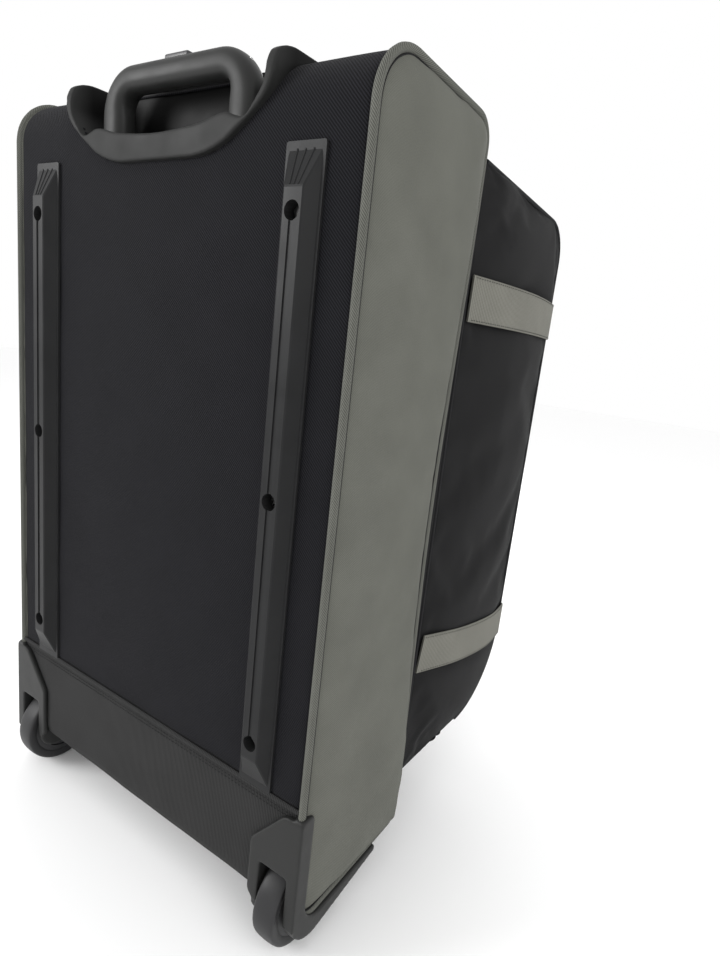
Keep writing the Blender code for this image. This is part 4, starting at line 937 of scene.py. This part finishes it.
def make_main_side(label, side):
    """Side of the main compartment; returns its surface, on which the straps are laid."""
    outline = main_path()
    seat = MAIN_HIGH.x - 0.0012

    def lift(y, z, away):
        """A belly, drawn in under each strap, with slanting folds."""
        tuck = np.zeros_like(y)
        for rear_z, front_z in STRAP_ENDS.values():
            mark = rear_z + (front_z - rear_z) * (MAIN_HIGH.y - y) / (MAIN_HIGH.y - MAIN_LOW.y)
            tuck += 0.0050 * np.exp(-((z - mark) / 0.024) ** 4) * np.minimum(1.0, away / 0.02)
        folds = 0.0024 * ripples(y * 0.5, z + 0.6 * y, side, 0.055, 21.0 + side)
        return MAIN_SWELL * rise(away, 0.022) - tuck + folds * np.minimum(1.0, away / 0.02)

    def spots(y, z, raised):
        return np.stack([side * (seat + raised), y, z], axis=-1)

    rows = int((MAIN_HIGH.z - MAIN_LOW.z) / SIM_STEP)
    columns = int((MAIN_HIGH.y - MAIN_LOW.y) / SIM_STEP) + 4
    cloth = facing_sheet("main_side_cloth_" + label, outline, spots, rows, columns, lift, (side, 0, 0),
                         BLACK_CLOTH, thickness=None)
    relax_as_cloth(cloth, pressure=0.8, slack=0.012, cap=0.009)
    refine(cloth, 2)
    mesh = cloth.data
    surface = BVHTree.FromPolygons([v.co for v in mesh.vertices], [p.vertices for p in mesh.polygons])
    thicken(cloth, CLOTH)
    place(cloth, "main_compartment", "black_fabric", "main_side_" + label)
    declare(cloth)
    line, _ = resample(outline[:-1], 0.005)
    cord = sweep("main_piping_" + label, at_x(line, side * seat), circle(MAIN_PIPING_RADIUS, 10),
                 (side, 0.0, 0.0), BLACK_BRAID)
    place(cord, "main_compartment", "black_fabric")
    return surface


def make_gusset():
    """Top, front and bottom in one strip, with the front kept low under the straps."""
    half = MAIN_HIGH.x - 0.0016

    def lift(x, s, total):
        ends = np.minimum(1.0, np.minimum(s, total - s) / 0.03)
        folds = 0.0020 * ripples(x, s, 0.0, 0.06, 31.0)
        return (GUSSET_SWELL + folds) * rise(half - np.abs(x), 0.020) * ends

    def keep(x, y, z):
        return not (y < MAIN_LOW.y + 0.004 and FLAP_LOW.x - WINDOW_GAP < x < FLAP_HIGH.x + WINDOW_GAP
                    and FLAP_LOW.z - WINDOW_GAP < z < FLAP_HIGH.z + WINDOW_GAP)

    cloth = wrap_sheet("main_gusset", main_path(), SIM_STEP, half, lift, BLACK_CLOTH, keep, None)
    relax_as_cloth(cloth, pressure=0.5, slack=0.010, cap=0.008)
    refine(cloth, 1)
    for vertex in cloth.data.vertices:
        proud = MAIN_LOW.y - vertex.co.y
        if proud > 0.0:
            vertex.co.y = MAIN_LOW.y - min(FRONT_LIFT, proud * FRONT_SHARE)
    thicken(cloth, CLOTH)
    place(cloth, "main_compartment", "black_fabric", "main_top", "main_bottom", "main_front")
    declare(cloth)


def make_flap():
    outline = fillet_path([(FLAP_LOW.x, FLAP_LOW.z, FLAP_CORNER_RADIUS), (FLAP_HIGH.x, FLAP_LOW.z, 0.0),
                           (FLAP_HIGH.x, FLAP_HIGH.z, 0.0), (FLAP_LOW.x, FLAP_HIGH.z, FLAP_CORNER_RADIUS)],
                          closed=True)

    def lift(x, z, away):
        folds = 0.0014 * ripples(x, 0.0, z, 0.07, 41.0) * np.minimum(1.0, away / 0.03)
        return FRONT_LIFT * 0.6 + FLAP_SWELL * rise(away, 0.03) + folds

    def spots(x, z, raised):
        return np.stack([x, MAIN_LOW.y - raised, z], axis=-1)

    rows = int((FLAP_HIGH.z - FLAP_LOW.z) / SIM_STEP)
    columns = int((FLAP_HIGH.x - FLAP_LOW.x) / SIM_STEP)
    cloth = facing_sheet("flap_cloth", outline, spots, rows, columns, lift, (0, -1, 0), BLACK_CLOTH, None)
    relax_as_cloth(cloth, pressure=0.4, slack=0.008, cap=0.006)
    refine(cloth, 1)
    thicken(cloth, CLOTH)
    place(cloth, "flap", "black_fabric", "front_flap")
    declare(cloth)


def make_flap_zip():
    """Zip that runs round three sides of the window, outside its edge."""
    left, right = FLAP_LOW.x - ZIP_REACH, FLAP_HIGH.x + WINDOW_GAP
    low, high = FLAP_LOW.z - ZIP_REACH, FLAP_HIGH.z + ZIP_REACH
    bend = FLAP_CORNER_RADIUS + ZIP_REACH
    corners = [(right, high, 0.0), (left, high, bend), (left, low, bend), (right, low, 0.0)]
    line, _ = resample(fillet_path(corners), 0.005)
    path = at_y(line, MAIN_LOW.y - FRONT_LIFT - 0.0014)
    tape = sweep("flap_zip_tape", path, flat_band(0.0009, 0.017, 6)[:, ::-1], (0.0, -1.0, 0.0), BLACK_BRAID)
    place(tape, "main_compartment", "black_fabric")
    teeth = bead_row("flap_zip_teeth", path + np.array([0.0, -0.0008, 0.0]), (0.0, -1.0, 0.0), TOOTH_PITCH,
                     TOOTH_SIZE, ZIP_PLASTIC)
    place(teeth, "main_compartment", "black_plastic")


def strap_path(side, surface, rear_z, front_z):
    """Line of a strap: laid over a side's surface, then round the edge on to the front."""
    rear_y, front_y = MAIN_HIGH.y + 0.001, MAIN_LOW.y + 0.0015
    path = []
    for t in np.linspace(0.0, 1.0, STRAP_POINTS):
        y = rear_y + (front_y - rear_y) * t
        z = rear_z + (front_z - rear_z) * t
        hits = [surface.ray_cast(Vector((side * 0.4, y, z + across)), Vector((-side, 0.0, 0.0)))[0]
                for across in np.linspace(-0.5, 0.5, 7) * STRAP_WIDTH]
        path.append([side * max([MAIN_HIGH.x] + [abs(hit.x) for hit in hits if hit]), y, z])
    path = np.array(path)
    for _ in range(40):
        path[1:-1, 0] = (path[:-2, 0] + path[2:, 0] + 2 * path[1:-1, 0]) / 4
    path[:, 0] += side * 0.0024
    angles = np.linspace(0.2, math.pi / 2, 8)
    turn_x, turn_y = path[-1, 0] - side * STRAP_BEND, path[-1, 1]
    turn = [[turn_x + side * STRAP_BEND * math.cos(angle), turn_y - STRAP_BEND * math.sin(angle), front_z]
            for angle in angles]
    end = [[turn[-1][0] - side * reach, turn[-1][1], front_z] for reach in np.linspace(0.004, 0.030, 6)]
    return np.vstack([path, turn, end])


def make_straps(label, side, surface):
    for name, ends in STRAP_ENDS.items():
        path = strap_path(side, surface, *ends)
        band = sweep("strap_band_%s_%s" % (name, label), path, flat_band(STRAP_THICKNESS, STRAP_WIDTH, 9),
                     (0.0, 0.0, 1.0), WEBBING)
        place(band, "main_compartment", "webbing", "strap_%s_%s" % (name, label))
        for k, rise_share in enumerate((-0.45, 0.45)):
            seam = path[1:STRAP_POINTS] + np.array([side * 0.0012, 0.0, rise_share * STRAP_WIDTH])
            row = bead_row("strap_stitching_%s_%s_%d" % (name, label, k + 1), seam, (side, 0.0, 0.0),
                           STITCH_PITCH, STITCH_SIZE, GREY_THREAD)
            place(row, "main_compartment", "webbing")


def make_carry_handle(label, side):
    """Webbing loop on the front, bowed away from the cloth, with a padded wrap at its middle."""
    low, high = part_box("carry_handle_" + label)
    outer = (high.x if side > 0 else -low.x) - HANDLE_TRIM
    inner = (low.x if side > 0 else -high.x) + HANDLE_WIDTH / 2
    rise_z = 0.024 + HANDLE_WIDTH * 0.5
    corners = [(outer, low.z + HANDLE_WIDTH * 0.55, 0.0), (inner, low.z + rise_z, 0.030),
               (inner, high.z - rise_z, 0.030), (outer, high.z - HANDLE_WIDTH * 0.55, 0.0)]
    line, _ = resample(fillet_path(corners, steps=12), 0.006)
    path = at_y(line, MAIN_LOW.y - HANDLE_STAND_OFF) * np.array([side, 1.0, 1.0])
    path[:, 1] -= HANDLE_SAG * np.sin(np.linspace(0.0, math.pi, len(line)))
    section = flat_band(0.0032, HANDLE_WIDTH, 7)[:, ::-1]
    web = sweep("handle_band_" + label, path, section, (0.0, -1.0, 0.0), WEBBING)
    place(web, "carry_handle_" + label, "webbing", "carry_handle_" + label)
    middle, half = len(path) // 2, 10
    run = path[middle - half:middle + half + 1]
    swell = (1.0 - np.abs(np.linspace(-1.0, 1.0, len(run))) ** 6) ** 0.5 * 0.35 + 0.65
    sections = np.array([circle(1.0, 16) * np.array([0.0155 * k, 0.0050 * k]) for k in swell])
    wrap = sweep("handle_wrap_" + label, run, sections, (0.0, -1.0, 0.0), BLACK_CLOTH)
    place(wrap, "carry_handle_" + label, "black_fabric")


def make_cradle_and_divider():
    cradle = soften("cradle_foam", "ball_cradle", FOAM, "foam", voxel=0.0030, rounds=4)
    divider = soften("divider_pad", "divider_panel", QUILT, "lining", voxel=0.0022, rounds=3)
    make_binding("main_binding", "divider_panel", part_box("divider_panel")[1].y - 0.0012, 0.0014,
                 "main_compartment")


# ---- camera, light and floor ------------------------------------------------
def make_stage():
    reach, z = 6, -0.0005
    mesh = bpy.data.meshes.new("floor")
    mesh.from_pydata([(-reach, -reach, z), (reach, -reach, z), (reach, reach, z), (-reach, reach, z)], [],
                     [(0, 1, 2, 3)])
    material, _, shader = new_material("pale floor")
    shader.inputs["Base Color"].default_value = (0.97, 0.97, 0.97, 1.0)
    shader.inputs["Roughness"].default_value = 0.9
    link("floor", mesh, material)


def make_light(name, place_at, target, size, power):
    data = bpy.data.lights.new(name, "AREA")
    data.shape = "DISK"
    data.size = size
    data.energy = power
    lamp = bpy.data.objects.new(name, data)
    bpy.context.scene.collection.objects.link(lamp)
    lamp.location = place_at
    lamp.rotation_euler = (Vector(target) - Vector(place_at)).to_track_quat("-Z", "Y").to_euler()


def make_camera():
    data = bpy.data.cameras.new("camera")
    data.lens = 23.96
    camera = bpy.data.objects.new("camera", data)
    bpy.context.scene.collection.objects.link(camera)
    forward = Vector((0.531, -0.818, -0.222)).normalized()
    up = Vector((0.213, -0.125, 0.969))
    right = forward.cross(up).normalized()
    up = right.cross(forward)
    turn = Matrix((right, up, -forward)).transposed().to_4x4()
    camera.matrix_world = Matrix.Translation((-0.447, 0.544, 0.521)) @ turn
    bpy.context.scene.camera = camera


def make_light_and_camera():
    world = bpy.data.worlds.new("studio")
    world.use_nodes = True
    world.node_tree.nodes["Background"].inputs["Color"].default_value = (1.0, 1.0, 1.0, 1.0)
    world.node_tree.nodes["Background"].inputs["Strength"].default_value = 1.0
    bpy.context.scene.world = world
    centre = (0.0, 0.0, 0.35)
    make_light("key", (1.4, 1.6, 1.0), centre, 1.0, 30.0)
    make_light("fill", (-1.9, 0.6, 1.4), centre, 1.6, 12.0)
    make_light("front", (0.4, -1.9, 1.3), centre, 1.6, 16.0)
    bpy.context.scene.view_settings.view_transform = "Standard"
    make_camera()


make_stage()
make_light_and_camera()
make_back_cloth()
make_kick_cloth()
for label, side in SIDES:
    make_side(label, side)
make_moulded_pieces()
make_wheels()
make_rail_flutes()
make_base_frame()
make_lining()
for label, side in SIDES:
    make_straps(label, side, make_main_side(label, side))
    make_carry_handle(label, side)
make_gusset()
make_flap()
make_flap_zip()
make_cradle_and_divider()
